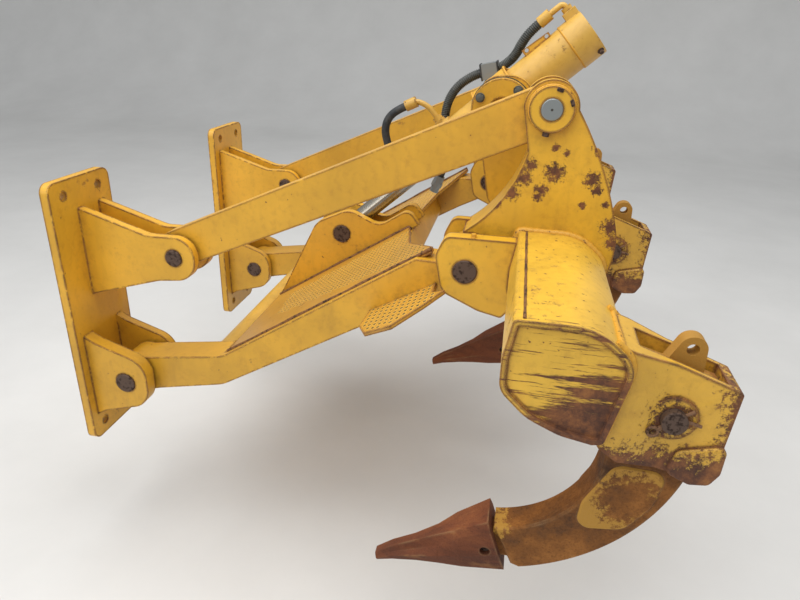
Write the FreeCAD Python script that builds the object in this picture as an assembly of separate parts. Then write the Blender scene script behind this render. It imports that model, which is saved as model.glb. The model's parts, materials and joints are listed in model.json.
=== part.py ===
import FreeCAD, Part
import math
import os

# Three-shank parallelogram ripper of a medium crawler tractor, in millimetres.
# X runs rearward from the tractor's mounting face, Y to the tractor's right and Z up.
# The origin is the middle of the bolt pattern on the mounting face.

V = FreeCAD.Vector
ACROSS = V(0, 1, 0)

# Clearances
PIN_FIT = 0.3            # radial, between a pin and each bore that it goes through
WELD_GAP = 0.3           # between two nodes whose curved faces meet
SIDE_GAP = 10.0          # between a swinging link and the plates on either side of it
ROD_EYE_SLACK = 11.0     # radial, at the cylinder's rod eye, where the linkage is opened

# Linkage
LINK_LENGTH = 1160.0     # pin to pin, the same for the lower frame and the upper links
REST_SLOPE = 25.0        # degrees that the links climb rearward in the rest pose
LOWER_PIN_X = 150.0      # lower front pin, from the mounting face
PIN_STEP_X = 174.0       # the upper pins stand behind the lower ones
PIN_RISE = 413.0         # the upper pins stand above the lower ones
LOWER_PIN_R = 32.0
UPPER_PIN_R = 26.0

# Places across, from the middle
LINK_Y = 475.0           # middle of an upper link
LINK_THICK = 50.0
TOWER_PLATE = 30.0       # thickness of a tower's inner and outer plate
ARM_Y = 510.0            # middle of a lower arm
ARM_WIDTH = 110.0
LUG_PLATE = 45.0         # thickness of the lower outer lug
COLLAR = 26.0            # length of the round collar on the outside of a tower
COLLAR_R = 54.0

# Beam
BEAM_LENGTH = 2202.0
BEAM_DEPTH = 241.0       # along X
BEAM_HEIGHT = 250.0
BEAM_BACK = 115.0        # from the lower rear pin to the beam's front face
BEAM_UP = 102.5          # from the lower rear pin up to the beam's top
END_RIM = 11.0           # width of the raised rim round each end plate
END_SINK = 9.0           # how deep the end plate lies inside the rim

# Pockets, shanks and tips
POCKET_SPACING = 1000.0
POCKET_FOOT = 160.0      # width where the pocket leaves the beam
POCKET_WIDTH = 104.0     # width round the shank
POCKET_WALL = 30.0       # rear wall behind the shank
LIP_SWELL = 12.0         # how far the lower lip stands out from the sides
SHANK_THICK = 74.0
SHANK_DEPTH = 174.0
SHANK_PLAY = 1.5         # between shank and pocket, on each side
SHANK_PIN_R = 25.0
PAD_RAISE = 5.0          # the wear pad cast on each side of a shank
EYE_BORE_R = 12.0        # lifting eye on top of each shank
TIP_WIDTH = 96.0
TIP_POINT_WIDTH = 36.0
TIP_PIN_R = 12.0
NOSE_THICK = 50.0        # the shank's nose, inside the tip's socket
NOSE_PLAY = 1.5

# Cylinder
TRUNNION_X = 42.0        # behind the lower rear pin
TRUNNION_Z = 362.5       # above the lower rear pin
ROD_PIN_S = 489.7        # from the lower rear pin along the link line
ROD_PIN_N = 104.1        # above the link line
ROD_PIN_R = 31.0
ROD_EYE_R = 62.0
ROD_EYE_WIDTH = 64.0
EAR_GAP = 68.0           # between the two ears
EAR_PLATE = 34.0
BARREL_R = 72.0
BARREL_WALL = 12.0
BARREL_BACK = 333.0      # from the trunnion to the end of the head
BARREL_FRONT = 222.0     # from the trunnion to the gland
HEAD_LENGTH = 74.0
HEAD_PORT = BARREL_BACK - 24
HEAD_PORT_RISE = 22.0    # above the barrel's skin
GLAND_PORT = 22 - BARREL_FRONT
GLAND_PORT_RISE = 17.0
PISTON_PLACE = -22.0     # from the trunnion, at rest
PISTON_LENGTH = 60.0
ROD_R = 30.0
TRUNNION_R = 38.0
SUPPORT_GAP = 264.0      # between the two trunnion supports
SUPPORT_PLATE = 38.0
CAP_R = 95.0
CAP_THICK = 26.0

# Hoses on the cylinder
HOSE_R = 13.5
PIPE_R = 9.0
PIPE_NUT_R = 16.0
PIPE_NUT_RISE = 14.0
FERRULE_R = 18.0
FERRULE_LENGTH = 40.0
COUPLING_R = 20.0
COUPLING_FERRULE = 24.0
COUPLING_NUT = 20.0
COUPLING_LENGTH = 62.0
HOSE_FIT = 0.3           # between a hose and the clamp that holds it
CLAMP_SIZE = 50.0
HOSE_BACK = 333.0        # the barrel's reaches that the hoses' points are drawn for
HOSE_FRONT = 222.0

# Mounting
PLATE_THICK = 28.0
PLATE_HALF_WIDTH = 140.0
PLATE_HEIGHT = 860.0
BOLT_R = 13.5
BOLT_SPREAD = 80.0       # from the bracket's middle to each bolt column
BOLT_ROW = 385.0         # from the pattern's middle to each bolt row

# Deck and step
DECK_THICK = 12.0
DECK_SLOPE = 0.1335      # how fast the deck falls towards the front, against the link line
STEP_WIDTH = 196.0
STEP_FROM = 97.0         # from the lower rear pin along the link line
STEP_LENGTH = 215.0

# Derived places
SLOPE = math.radians(REST_SLOPE)
ALONG = V(-math.cos(SLOPE), 0, -math.sin(SLOPE))
ABOVE = V(-math.sin(SLOPE), 0, math.cos(SLOPE))
LF = V(LOWER_PIN_X, 0, -PIN_RISE / 2)
UF = V(LOWER_PIN_X + PIN_STEP_X, 0, PIN_RISE / 2)
LR = LF - ALONG * LINK_LENGTH
UR = UF - ALONG * LINK_LENGTH
TRUNNION = LR + V(TRUNNION_X, 0, TRUNNION_Z)
ROD_PIN = LR + ALONG * ROD_PIN_S + ABOVE * ROD_PIN_N
BEAM_X = LR.x + BEAM_BACK
BEAM_Z = LR.z + BEAM_UP - BEAM_HEIGHT
SIDES = (("left", -1), ("right", 1))
POCKETS = (("left", -POCKET_SPACING), ("centre", 0.0), ("right", POCKET_SPACING))


def frame_point(s, n):
    """Point in the side view, s along the link line from the lower rear pin, n above it."""
    return LR + ALONG * s + ABOVE * n


def beam_point(u, v):
    """Point in the side view, u behind the beam's front face and v above its underside."""
    return V(BEAM_X + u, 0, BEAM_Z + v)


def rounded(corners):
    """Closed wire through corners of (point, radius), each corner with its own round."""
    count = len(corners)
    ins = []
    outs = []
    mids = []
    for i in range(count):
        p, r = corners[i]
        before = corners[i - 1][0] - p
        after = corners[(i + 1) % count][0] - p
        a = V(before)
        b = V(after)
        a.normalize()
        b.normalize()
        half = math.acos(max(-1.0, min(1.0, a.dot(b)))) / 2
        if r <= 0 or half > math.radians(89.5):
            ins.append(p)
            outs.append(p)
            mids.append(None)
            continue
        run = min(r / math.tan(half), 0.48 * before.Length, 0.48 * after.Length)
        radius = run * math.tan(half)
        middle = a + b
        middle.normalize()
        ins.append(p + a * run)
        outs.append(p + b * run)
        mids.append(p + middle * (radius / math.sin(half) - radius))
    edges = []
    for i in range(count):
        if mids[i] is not None:
            edges.append(Part.Arc(ins[i], mids[i], outs[i]).toShape())
        start = outs[i]
        end = ins[(i + 1) % count]
        if (end - start).Length > 0.001:
            edges.append(Part.makeLine(start, end))
    return Part.Wire(edges)


def slab(wire, y_from, y_to):
    """Solid between two planes across the part, from a wire in the plane Y = 0."""
    face = Part.Face(wire)
    face.translate(V(0, min(y_from, y_to), 0))
    return face.extrude(ACROSS * abs(y_to - y_from))


def bar_across(centre, radius, y_from, y_to):
    """Round bar along Y."""
    low = min(y_from, y_to)
    return Part.makeCylinder(radius, abs(y_to - y_from), V(centre.x, low, centre.z), ACROSS)


def side_slab(wire, side, inner, outer):
    """The same slab on one side, between two distances from the middle."""
    return slab(wire, side * inner, side * outer)


def side_bar(centre, radius, side, inner, outer):
    """Round bar on one side, between two distances from the middle."""
    return bar_across(centre, radius, side * inner, side * outer)


def hull(p1, r1, p2, r2):
    """Closed wire round two circles and their outer tangents, in the plane Y = 0."""
    line = p2 - p1
    d = line.Length
    turn = math.acos((r1 - r2) / d)
    heading = math.atan2(line.z, line.x)

    def on(p, r, angle):
        return p + V(math.cos(angle), 0, math.sin(angle)) * r
    a1 = on(p1, r1, heading + turn)
    a2 = on(p1, r1, heading - turn)
    b1 = on(p2, r2, heading + turn)
    b2 = on(p2, r2, heading - turn)
    back = on(p1, r1, heading + math.pi)
    front = on(p2, r2, heading)
    return Part.Wire([Part.Arc(a1, back, a2).toShape(), Part.makeLine(a2, b2),
                      Part.Arc(b2, front, b1).toShape(), Part.makeLine(b1, a1)])


def fuse(first, *others):
    """One clean solid from several that overlap."""
    solid = first
    for other in others:
        solid = solid.fuse(other)
    return solid.removeSplitter()


def beam_section(grow=0.0):
    """The beam's D section: flat top, sloping front, rounded back and bevelled underside."""
    d = BEAM_DEPTH
    h = BEAM_HEIGHT
    wire = rounded([(beam_point(14, h), 10), (beam_point(d - 74, h), 170),
                    (beam_point(d + 6, h - 70), 60), (beam_point(d - 30, 4), 12),
                    (beam_point(d - 52, 0), 6), (beam_point(d - 116, 12), 100),
                    (beam_point(58, 42), 110), (beam_point(0, 98), 50), (beam_point(0, h - 83), 20)])
    if grow:
        wire = wire.makeOffset2D(grow)
    return wire


def make_beam():
    half = BEAM_LENGTH / 2
    beam = slab(beam_section(), -half, half)
    recess = beam_section(-END_RIM)
    for side in (-1, 1):
        beam = beam.cut(side_slab(recess, side, half - END_SINK, half + 1))
    return beam


BEAM_ENVELOPE = slab(beam_section(WELD_GAP), -BEAM_LENGTH, BEAM_LENGTH)


LINK_IN = LINK_Y - LINK_THICK / 2
LINK_OUT = LINK_Y + LINK_THICK / 2
TOWER_IN = LINK_IN - SIDE_GAP - TOWER_PLATE
TOWER_OUT = LINK_OUT + SIDE_GAP + TOWER_PLATE
ARM_IN = ARM_Y - ARM_WIDTH / 2
ARM_OUT = ARM_Y + ARM_WIDTH / 2
TOWER_TOP_R = 67.0       # round top of a tower's plates, about the upper pin
ARM_EYE_R = 66.0         # rear and front eyes of the lower arms
LUG_NOSE_R = 72.0
LINK_REAR_R = 62.0
LINK_FRONT_R = 58.0
LINK_REAR_SHIFT = -4.0       # the link's rear round against its pin, square to the link line
LINK_FRONT_SHIFT = 16.0
SWEEP_R = ARM_EYE_R + 16.0   # kept free round the lower rear pin for the arm's eye
SKIN_TOP = UR + V(-44, 0, -109)      # top of the hollow front plate, below the link's end
SKIN_MIDDLE = LR + V(77, 0, 180)


def tower_outline():
    """Side plate: round top, bulging back down to the beam, hollowed front down to the lug."""
    top_front = UR + V(-TOWER_TOP_R, 0, 0)
    rear_edge = UR + V(TOWER_TOP_R, 0, 0)
    back_knee = beam_point(BEAM_DEPTH + 19, BEAM_HEIGHT + 8)
    tail = beam_point(BEAM_DEPTH + 6, BEAM_HEIGHT - 122)
    foot_back = beam_point(BEAM_DEPTH - 50, BEAM_HEIGHT - 100)
    foot_front = LR + V(60, 0, 12)
    toe = LR + V(-19, 0, SWEEP_R + 1)
    bulge = (rear_edge + back_knee) * 0.5 + V(13, 0, 6)
    edges = [Part.Arc(top_front, UR + V(0, 0, TOWER_TOP_R), rear_edge).toShape(),
             Part.Arc(rear_edge, bulge, back_knee).toShape(),
             Part.Arc(back_knee, beam_point(BEAM_DEPTH + 20, BEAM_HEIGHT - 60), tail).toShape(),
             Part.makeLine(tail, foot_back),
             Part.makeLine(foot_back, foot_front),
             Part.makeLine(foot_front, toe),
             Part.Arc(toe, SKIN_MIDDLE, SKIN_TOP).toShape(),
             Part.makeLine(SKIN_TOP, top_front)]
    return Part.Wire(edges)


def front_skin():
    """Hollow-curved plate that closes a tower's front between its two side plates."""
    toe = LR + V(-19, 0, SWEEP_R + 1)
    shift = V(12, 0, -9)
    edges = [Part.Arc(toe, SKIN_MIDDLE, SKIN_TOP).toShape(),
             Part.makeLine(SKIN_TOP, SKIN_TOP + shift),
             Part.Arc(SKIN_TOP + shift, SKIN_MIDDLE + shift, toe + shift).toShape(),
             Part.makeLine(toe + shift, toe)]
    return Part.Wire(edges)


def back_skin():
    """Flat plate that closes a tower's back between its two side plates."""
    top = UR + V(TOWER_TOP_R, 0, -60)
    foot = beam_point(BEAM_DEPTH + 12, BEAM_HEIGHT + 2)
    foot_low = beam_point(BEAM_DEPTH - 4, BEAM_HEIGHT - 70)
    thick = V(-14, 0, -4)
    return rounded([(top, 0), (foot, 0), (foot_low, 0), (foot_low + thick, 0), (foot + thick, 0),
                    (top + thick, 0)])


def make_tower(side):
    """Tower with its lower lugs, one weldment set over the beam."""
    wire = tower_outline()
    outer = side_slab(wire, side, TOWER_OUT - TOWER_PLATE, TOWER_OUT)
    inner = side_slab(wire, side, TOWER_IN, TOWER_IN + TOWER_PLATE)
    skins = [side_slab(front_skin(), side, TOWER_IN + 5, TOWER_OUT - 5),
             side_slab(back_skin(), side, TOWER_IN + 5, TOWER_OUT - 5)]
    collar = side_bar(UR, COLLAR_R, side, TOWER_OUT - 5, TOWER_OUT + COLLAR)
    lug = lug_outline()
    outer_lug = side_slab(lug, side, LUG_OUT - LUG_PLATE, LUG_OUT)
    inner_lug = side_slab(lug, side, LUG_IN, LUG_IN + TOWER_PLATE)
    bridge = side_slab(lug_bridge(), side, LUG_IN + 5, LUG_OUT - 5)
    tower = fuse(outer, inner, collar, *skins)
    tower = tower.cut(side_bar(LR, SWEEP_R, side, LUG_IN + TOWER_PLATE, LUG_OUT - LUG_PLATE))
    tower = fuse(tower, outer_lug, inner_lug, bridge).cut(BEAM_ENVELOPE)
    tower = tower.cut(side_bar(LR, LOWER_PIN_R + PIN_FIT, side, LUG_IN - 20, LUG_OUT + 5))
    tower = tower.cut(side_bar(UR, UPPER_PIN_R + PIN_FIT, side, TOWER_IN - 5, TOWER_OUT + COLLAR + 5))
    return biggest(tower)


def biggest(shape):
    """The largest solid of a shape, as one solid."""
    return max(shape.Solids, key=lambda s: s.Volume)


LUG_GAP = 9.0
LUG_IN = ARM_IN - LUG_GAP - TOWER_PLATE
LUG_OUT = ARM_OUT + LUG_GAP + LUG_PLATE


def lug_outline():
    """Lower lug: round nose at the pin, its top running level to the beam's front."""
    return rounded([(LR + V(-56, 0, 92), 26), (LR + V(BEAM_BACK + 40, 0, 92), 0),
                    (LR + V(BEAM_BACK + 40, 0, -60), 0), (LR + V(BEAM_BACK - 10, 0, -122), 10),
                    (LR + V(42, 0, -108), 40), (LR + V(-60, 0, -62), 45), (LR + V(-80, 0, 40), 40)])


def lug_bridge():
    """Block that ties the inner and outer lug in front of the beam."""
    return rounded([(LR + V(SWEEP_R + 8, 0, 40), 0), (LR + V(BEAM_BACK + 40, 0, 40), 0),
                    (LR + V(BEAM_BACK + 40, 0, -60), 0), (LR + V(SWEEP_R + 8, 0, -60), 0)])


POCKET_HALF = POCKET_WIDTH / 2
SHANK_FRONT = BEAM_DEPTH - 3.0      # the shank's front face at the pocket's lower lip
LEAN = math.radians(5.5)            # the shank's straight part leans rearward


def shank_point(t, w):
    """Point on a shank, w above the lower lip along its lean and t behind its front face."""
    return beam_point(SHANK_FRONT + t + w * math.tan(LEAN), w)


def bend_point(back, up):
    """Point on a shank's bent part, square to the beam, from its front face at the lip."""
    return beam_point(SHANK_FRONT + back, up)


POCKET_BACK = SHANK_DEPTH + SHANK_PLAY + POCKET_WALL


def pocket_outline():
    """Side view of a pocket: top falling rearward, leaning back, bottom square to the shank."""
    return rounded([(beam_point(BEAM_DEPTH - 60, BEAM_HEIGHT - 42), 0),
                    (beam_point(BEAM_DEPTH - 14, BEAM_HEIGHT - 44), 30),
                    (shank_point(86, 168), 60),
                    (shank_point(POCKET_BACK - 2, 126), 8),
                    (shank_point(POCKET_BACK + 2, -20), 0),
                    (shank_point(POCKET_BACK - 20, -84), 10),
                    (shank_point(10, -46), 8),
                    (beam_point(BEAM_DEPTH - 34, -20), 0), (beam_point(BEAM_DEPTH - 60, 20), 0)])


def lip_outline():
    """Swollen lower rear lip of a pocket, round where the shank leaves."""
    return rounded([(shank_point(POCKET_BACK - 84, -14), 20), (shank_point(POCKET_BACK - 4, 6), 14),
                    (shank_point(POCKET_BACK + 8, -6), 14), (shank_point(POCKET_BACK + 12, -58), 20),
                    (shank_point(POCKET_BACK - 2, -88), 16), (shank_point(POCKET_BACK - 40, -92), 16),
                    (shank_point(POCKET_BACK - 92, -70), 20)])


def pocket_plan(y):
    """Upright column, wide at the beam and flaring in to the width round the shank."""
    foot = POCKET_FOOT / 2
    near = BEAM_X + BEAM_DEPTH - 80
    flare = BEAM_X + BEAM_DEPTH + 8
    neck = BEAM_X + BEAM_DEPTH + 84
    far = BEAM_X + BEAM_DEPTH + 400
    half = [(near, foot), (flare, foot), (neck, POCKET_HALF + 3), (far, POCKET_HALF - 3)]
    low = BEAM_Z - 400
    corners = [V(x, y + w, low) for x, w in half] + [V(x, y - w, low) for x, w in reversed(half)]
    return Part.Face(Part.makePolygon(corners + [corners[0]])).extrude(V(0, 0, 1000))


def shank_slot(play):
    """The straight hole for a shank, with play on each face."""
    back = SHANK_DEPTH + play
    return rounded([(shank_point(-play, -120), 0), (shank_point(back, -120), 0),
                    (shank_point(back, 260), 0), (shank_point(-play, 260), 0)])


def shank_pin_place():
    return shank_point(SHANK_DEPTH * 0.54, 58)


def make_pocket(y):
    body = slab(pocket_outline(), y - POCKET_FOOT / 2, y + POCKET_FOOT / 2).common(pocket_plan(y))
    half_lip = POCKET_HALF + LIP_SWELL
    lip = slab(lip_outline(), y - half_lip, y + half_lip)
    lip = lip.makeFillet(8.0, [e for e in lip.Edges if is_rim(e)])
    body = fuse(body, lip)
    pin = shank_pin_place()
    for side in (-1, 1):
        ring = bar_across(pin, 46, y + side * (POCKET_HALF - 6), y + side * (POCKET_HALF + 10))
        body = body.fuse(ring)
    half_slot = SHANK_THICK / 2 + SHANK_PLAY
    body = body.cut(slab(shank_slot(SHANK_PLAY), y - half_slot, y + half_slot))
    body = body.cut(BEAM_ENVELOPE)
    body = body.cut(bar_across(pin, SHANK_PIN_R + PIN_FIT, y - POCKET_FOOT, y + POCKET_FOOT))
    return biggest(body.removeSplitter())


def is_rim(edge):
    """True for an edge that lies in a plane across the part and isn't along Y."""
    box = edge.BoundBox
    return box.YLength < 0.01


NOSE_TOP = bend_point(-212, -306)    # the shank's flat end, where the tip seats
NOSE_LOW = bend_point(-166, -405)


def shank_wire():
    """Shank: straight in the pocket, then two arcs that sweep forward to the nose."""
    lip_front = shank_point(0, -55)
    lip_back = shank_point(SHANK_DEPTH, -50)
    heel = NOSE_LOW + V(20, 0, -7)
    edges = [Part.makeLine(lip_front, shank_point(0, 168)),
             Part.makeLine(shank_point(0, 168), shank_point(SHANK_DEPTH, 118)),
             Part.makeLine(shank_point(SHANK_DEPTH, 118), lip_back),
             Part.Arc(lip_back, bend_point(88, -246), heel).toShape(),
             Part.makeLine(heel, NOSE_LOW),
             Part.makeLine(NOSE_LOW, NOSE_TOP),
             Part.Arc(NOSE_TOP, bend_point(-48, -207), lip_front).toShape()]
    return Part.Wire(edges)


def nose_wire(play):
    """Blunt wedge in front of the shank's end, grown by play for the tip's socket."""
    return rounded([(NOSE_TOP + V(14 + play, 0, -16 + play), 0), (NOSE_TOP + V(-62 - play, 0, -44 + play), 6),
                    (NOSE_TOP + V(-66 - play, 0, -84 - play), 6), (NOSE_LOW + V(4 + play, 0, 12 - play), 0)])


def pad_wire():
    """Oval wear pad cast on each side of a shank, where it bends."""
    return rounded([(bend_point(18, -83), 34), (bend_point(126, -88), 30),
                    (bend_point(110, -180), 70), (bend_point(62, -252), 50),
                    (bend_point(-42, -266), 42), (bend_point(-36, -190), 60)])


def make_shank(y):
    shank = slab(shank_wire(), y - SHANK_THICK / 2, y + SHANK_THICK / 2)
    shank = shank.makeChamfer(4.0, [e for e in shank.Edges if is_rim(e)])
    pad = slab(pad_wire(), y - SHANK_THICK / 2 - PAD_RAISE, y + SHANK_THICK / 2 + PAD_RAISE)
    pad = pad.makeChamfer(PAD_RAISE - 0.5, [e for e in pad.Edges if is_rim(e)])
    eye_place = shank_point(SHANK_DEPTH * 0.58, 188)
    lug = slab(hull(eye_place, EYE_BORE_R + 15, shank_point(SHANK_DEPTH * 0.54, 128), 42), y - 16, y + 16)
    nose = slab(nose_wire(0), y - NOSE_THICK / 2, y + NOSE_THICK / 2)
    shank = fuse(shank, pad, lug, nose)
    shank = shank.cut(bar_across(eye_place, EYE_BORE_R, y - 40, y + 40))
    shank = shank.cut(bar_across(tip_pin_place(), TIP_PIN_R, y - 40, y + 40))
    shank = shank.cut(bar_across(shank_pin_place(), SHANK_PIN_R + PIN_FIT, y - 100, y + 100))
    return biggest(shank)


def tip_section(top, low, half, crown, hollow):
    """Closed cross section of a tip: narrow sole, full sides, a flute each side and a crown.

    crown is half the flat top as a share of the half width; hollow is the flute's place, as a
    share of the half width and of the height below the top.
    """
    down = low - top
    wide, deep = hollow
    half_points = [(0.8, 1.0), (1.0, 0.62), (wide, deep), (crown, 0.0)]
    shares = half_points + [(-w, share) for w, share in reversed(half_points)]
    points = [V((top + down * share).x, w * half, (top + down * share).z) for w, share in shares]
    return Part.makePolygon(points + [points[0]])


TIP_SECTIONS = (                     # top and low side as steps from the shank's end, half width
    (V(-15, 0, 18), V(-13, 0, -19), TIP_WIDTH / 2, 0.86, (1.0, 0.14)),
    (V(-89, 0, -31), V(-112, 0, -35), TIP_WIDTH * 0.46, 0.72, (0.93, 0.16)),
    (V(-131, 0, -64), V(-167, 0, -41), TIP_WIDTH * 0.40, 0.5, (0.66, 0.34)),
    (V(-186, 0, -100), V(-222, 0, -51), TIP_WIDTH * 0.32, 0.42, (0.56, 0.42)),
    (V(-241, 0, -131), V(-284, 0, -66), TIP_WIDTH * 0.25, 0.5, (0.66, 0.36)),
    (V(-282, 0, -162), V(-322, 0, -81), TIP_POINT_WIDTH / 2, 0.6, (0.85, 0.3)))


def make_tip(y):
    """Ripper tip: lofted from its socket's rim over a fluted middle to the blunt point."""
    sections = []
    for up, down, half, crown, hollow in TIP_SECTIONS:
        sections.append(tip_section(NOSE_TOP + up, NOSE_LOW + down, half, crown, hollow))
    tip = Part.makeLoft(sections, True, True)
    socket = slab(nose_wire(NOSE_PLAY), -NOSE_THICK / 2 - NOSE_PLAY, NOSE_THICK / 2 + NOSE_PLAY)
    tip = tip.cut(socket)
    tip.translate(V(0, y, 0))
    return biggest(tip.cut(bar_across(tip_pin_place(), TIP_PIN_R, y - 100, y + 100)))


def tip_pin_place():
    """Cross pin that holds a tip on the shank's nose."""
    return NOSE_TOP + V(-16, 0, -64)


def arm_outline():
    """Side arm: rear eye with a neck, deep rear part, then level to the front eye."""
    return [(frame_point(58, 26), 0), (frame_point(126, 61), 10), (frame_point(835, -34), 90),
            (frame_point(LINK_LENGTH - 40, 52), 30), (frame_point(LINK_LENGTH, 62), 0),
            (frame_point(LINK_LENGTH, -62), 0), (frame_point(LINK_LENGTH - 60, -72), 60),
            (frame_point(879, -125), 120), (frame_point(157, -60), 60), (frame_point(30, -56), 0)]


def make_arm(side):
    arm = side_slab(rounded(arm_outline()), side, ARM_IN, ARM_OUT)
    rear = side_bar(LR, ARM_EYE_R, side, ARM_IN, ARM_OUT)
    front = side_bar(LF, ARM_EYE_R, side, ARM_IN, ARM_OUT)
    arm = fuse(arm, rear, front)
    arm = arm.cut(deck_space())
    arm = arm.cut(side_bar(LR, LOWER_PIN_R + PIN_FIT, side, ARM_IN - 5, ARM_OUT + 5))
    return arm.cut(side_bar(LF, LOWER_PIN_R + PIN_FIT, side, ARM_IN - 5, ARM_OUT + 5))


def ear_wire():
    """Ear for the rod's eye: round lobe at the pin, a long taper forward, a tail rearward."""
    low = -DECK_THICK
    return rounded([(ROD_PIN + ALONG * 72 + ABOVE * 72, 70), (ROD_PIN + ALONG * -62 + ABOVE * 72, 68),
                    (frame_point(350, deck_line(350) + 52), 60),
                    (frame_point(226, deck_line(226) + 54), 30),
                    (frame_point(212, deck_line(212) + low), 0),
                    (frame_point(480, deck_line(480) + low), 0),
                    (frame_point(480, -70), 0),
                    (frame_point(852, -84), 0),
                    (frame_point(852, deck_line(852) + low), 0),
                    (frame_point(800, deck_line(800) + 14), 10)])


def make_cross_tube():
    """Round tube between the arms where they level off."""
    return bar_across(frame_point(900, -78), 48, -ARM_IN, ARM_IN)


def make_cross_box():
    """Deep box between the arms under the rear half of the deck."""
    wire = rounded([(frame_point(235, deck_line(235) - DECK_THICK), 0),
                    (frame_point(480, deck_line(480) - DECK_THICK), 0),
                    (frame_point(480, -84), 20), (frame_point(235, -56), 20)])
    return slab(wire, -ARM_IN, ARM_IN)


def make_rod_ears():
    """Two ears for the rod's eye, each with the web that carries it forward to the tube."""
    ears = []
    for _, side in SIDES:
        ear = side_slab(ear_wire(), side, EAR_GAP / 2, EAR_GAP / 2 + EAR_PLATE)
        ear = ear.cut(bar_across(ROD_PIN, ROD_PIN_R + PIN_FIT, -200, 200))
        ears.append(ear)
    return Part.makeCompound(ears)


def deck_line(s):
    """Height of the deck's upper face above the link line."""
    return 72.0 - DECK_SLOPE * (s - 41.0)


def deck_band(s_from, s_to, low, high):
    """Closed wire of a band that follows the deck's slope."""
    return rounded([(frame_point(s_from, deck_line(s_from) + low), 0),
                    (frame_point(s_from, deck_line(s_from) + high), 0),
                    (frame_point(s_to, deck_line(s_to) + high), 0),
                    (frame_point(s_to, deck_line(s_to) + low), 0)])


DECK_FROM = 80.0
DECK_TO = 830.0
DECK_EDGE = 25.0


def deck_solid(y_inner, y_outer, side, low, high):
    return side_slab(deck_band(DECK_FROM, DECK_TO, low, high), side, y_inner, y_outer)


def deck_space():
    """Room that the decks take out of the arms' tops."""
    band = deck_band(DECK_FROM - WELD_GAP, DECK_TO + WELD_GAP, -DECK_THICK, 200)
    return slab(band, -ARM_OUT + DECK_EDGE - WELD_GAP, ARM_OUT - DECK_EDGE + WELD_GAP)


def make_deck(side):
    """Tread plate between ear and arm, its rear edge running back from the ear to the arm."""
    inner = EAR_GAP / 2 + EAR_PLATE + WELD_GAP
    plate = deck_solid(inner, ARM_OUT - DECK_EDGE, side, -DECK_THICK, 0)
    corners = []
    for s, y in ((DECK_FROM - 20, inner - 1), (DECK_FROM - 20, ARM_OUT - 50), (DECK_FROM, ARM_OUT - 50),
                 (DECK_FROM + 114, ARM_OUT - 246), (DECK_FROM + 165, inner - 1)):
        corners.append(frame_point(s, -200) + V(0, side * y, 0))
    prism = Part.Face(Part.makePolygon(corners + [corners[0]])).extrude(ABOVE * 400)
    return biggest(plate.cut(prism))


STEP_SHAPE = (                       # along the arm from the rear corner, out from the arm's side
    (0, 0), (0, 68), (-38, 90), (18, 140), (102, STEP_WIDTH), (188, 170), (222, 100), (STEP_LENGTH, 0))


def make_step():
    """Small six-sided tread step on the outside of the left arm."""
    fall = 0.08
    corners = []
    for along, out in STEP_SHAPE:
        corners.append(frame_point(STEP_FROM + along, -20 - fall * along) + V(0, -ARM_OUT - out, 0))
    return Part.Face(Part.makePolygon(corners + [corners[0]])).extrude(ABOVE * -12)


def make_upper_link(side):
    """Flat bar with round ends, its front end set a little above the line of its pins."""
    outline = hull(UR + ABOVE * LINK_REAR_SHIFT, LINK_REAR_R, UF + ABOVE * LINK_FRONT_SHIFT, LINK_FRONT_R)
    link = side_slab(outline, side, LINK_IN, LINK_OUT)
    for place in (UR, UF):
        link = link.cut(side_bar(place, UPPER_PIN_R + PIN_FIT, side, LINK_IN - 5, LINK_OUT + 5))
    return link


REACH = TRUNNION - ROD_PIN
STROKE_WAY = V(REACH)
STROKE_WAY.normalize()
STROKE_UP = V(-STROKE_WAY.z, 0, STROKE_WAY.x)


def cylinder_place(distance):
    """Point on the cylinder's centre line, from the trunnion towards the head."""
    return TRUNNION + STROKE_WAY * distance


def barrel_point(along, above, y):
    """Point by its distance from the trunnion along the barrel, above its centre line and across."""
    return cylinder_place(along) + STROKE_UP * above + V(0, y, 0)


def square_block(centre, way, length, width, height):
    """Block about a centre, its length along a direction and its width as level as can be."""
    way = V(way)
    way.normalize()
    side = STROKE_UP.cross(way)
    side.normalize()
    block = Part.makeBox(length, width, height, V(-length / 2, -width / 2, -height / 2))
    block.Placement = FreeCAD.Placement(centre, FreeCAD.Rotation(way, side, V(0, 0, 1), "XYZ"))
    return block


def ring_along(distance, length, radius):
    return Part.makeCylinder(radius, length, cylinder_place(distance), STROKE_WAY)


def make_barrel():
    body = ring_along(-BARREL_FRONT, BARREL_FRONT + BARREL_BACK, BARREL_R)
    head = ring_along(BARREL_BACK - HEAD_LENGTH, HEAD_LENGTH, BARREL_R + 3)
    gland = ring_along(-BARREL_FRONT, 52, BARREL_R + 8)
    head_port = square_block(skin_point(HEAD_PORT, HEAD_PORT_RISE - 21, 0), STROKE_WAY, 44, 44, 42)
    gland_port = square_block(skin_point(GLAND_PORT, GLAND_PORT_RISE - 15, 0), STROKE_WAY, 34, 34, 30)
    barrel = fuse(body, head, gland, head_port, gland_port)
    bore = ring_along(-BARREL_FRONT - 1, BARREL_FRONT + BARREL_BACK - 40, BARREL_R - BARREL_WALL)
    throat = ring_along(-BARREL_FRONT - 1, 60, ROD_R + PIN_FIT)
    keep = ring_along(-BARREL_FRONT, 46, BARREL_R - BARREL_WALL + 1).cut(throat)
    return fuse(barrel.cut(bore), keep)


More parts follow.
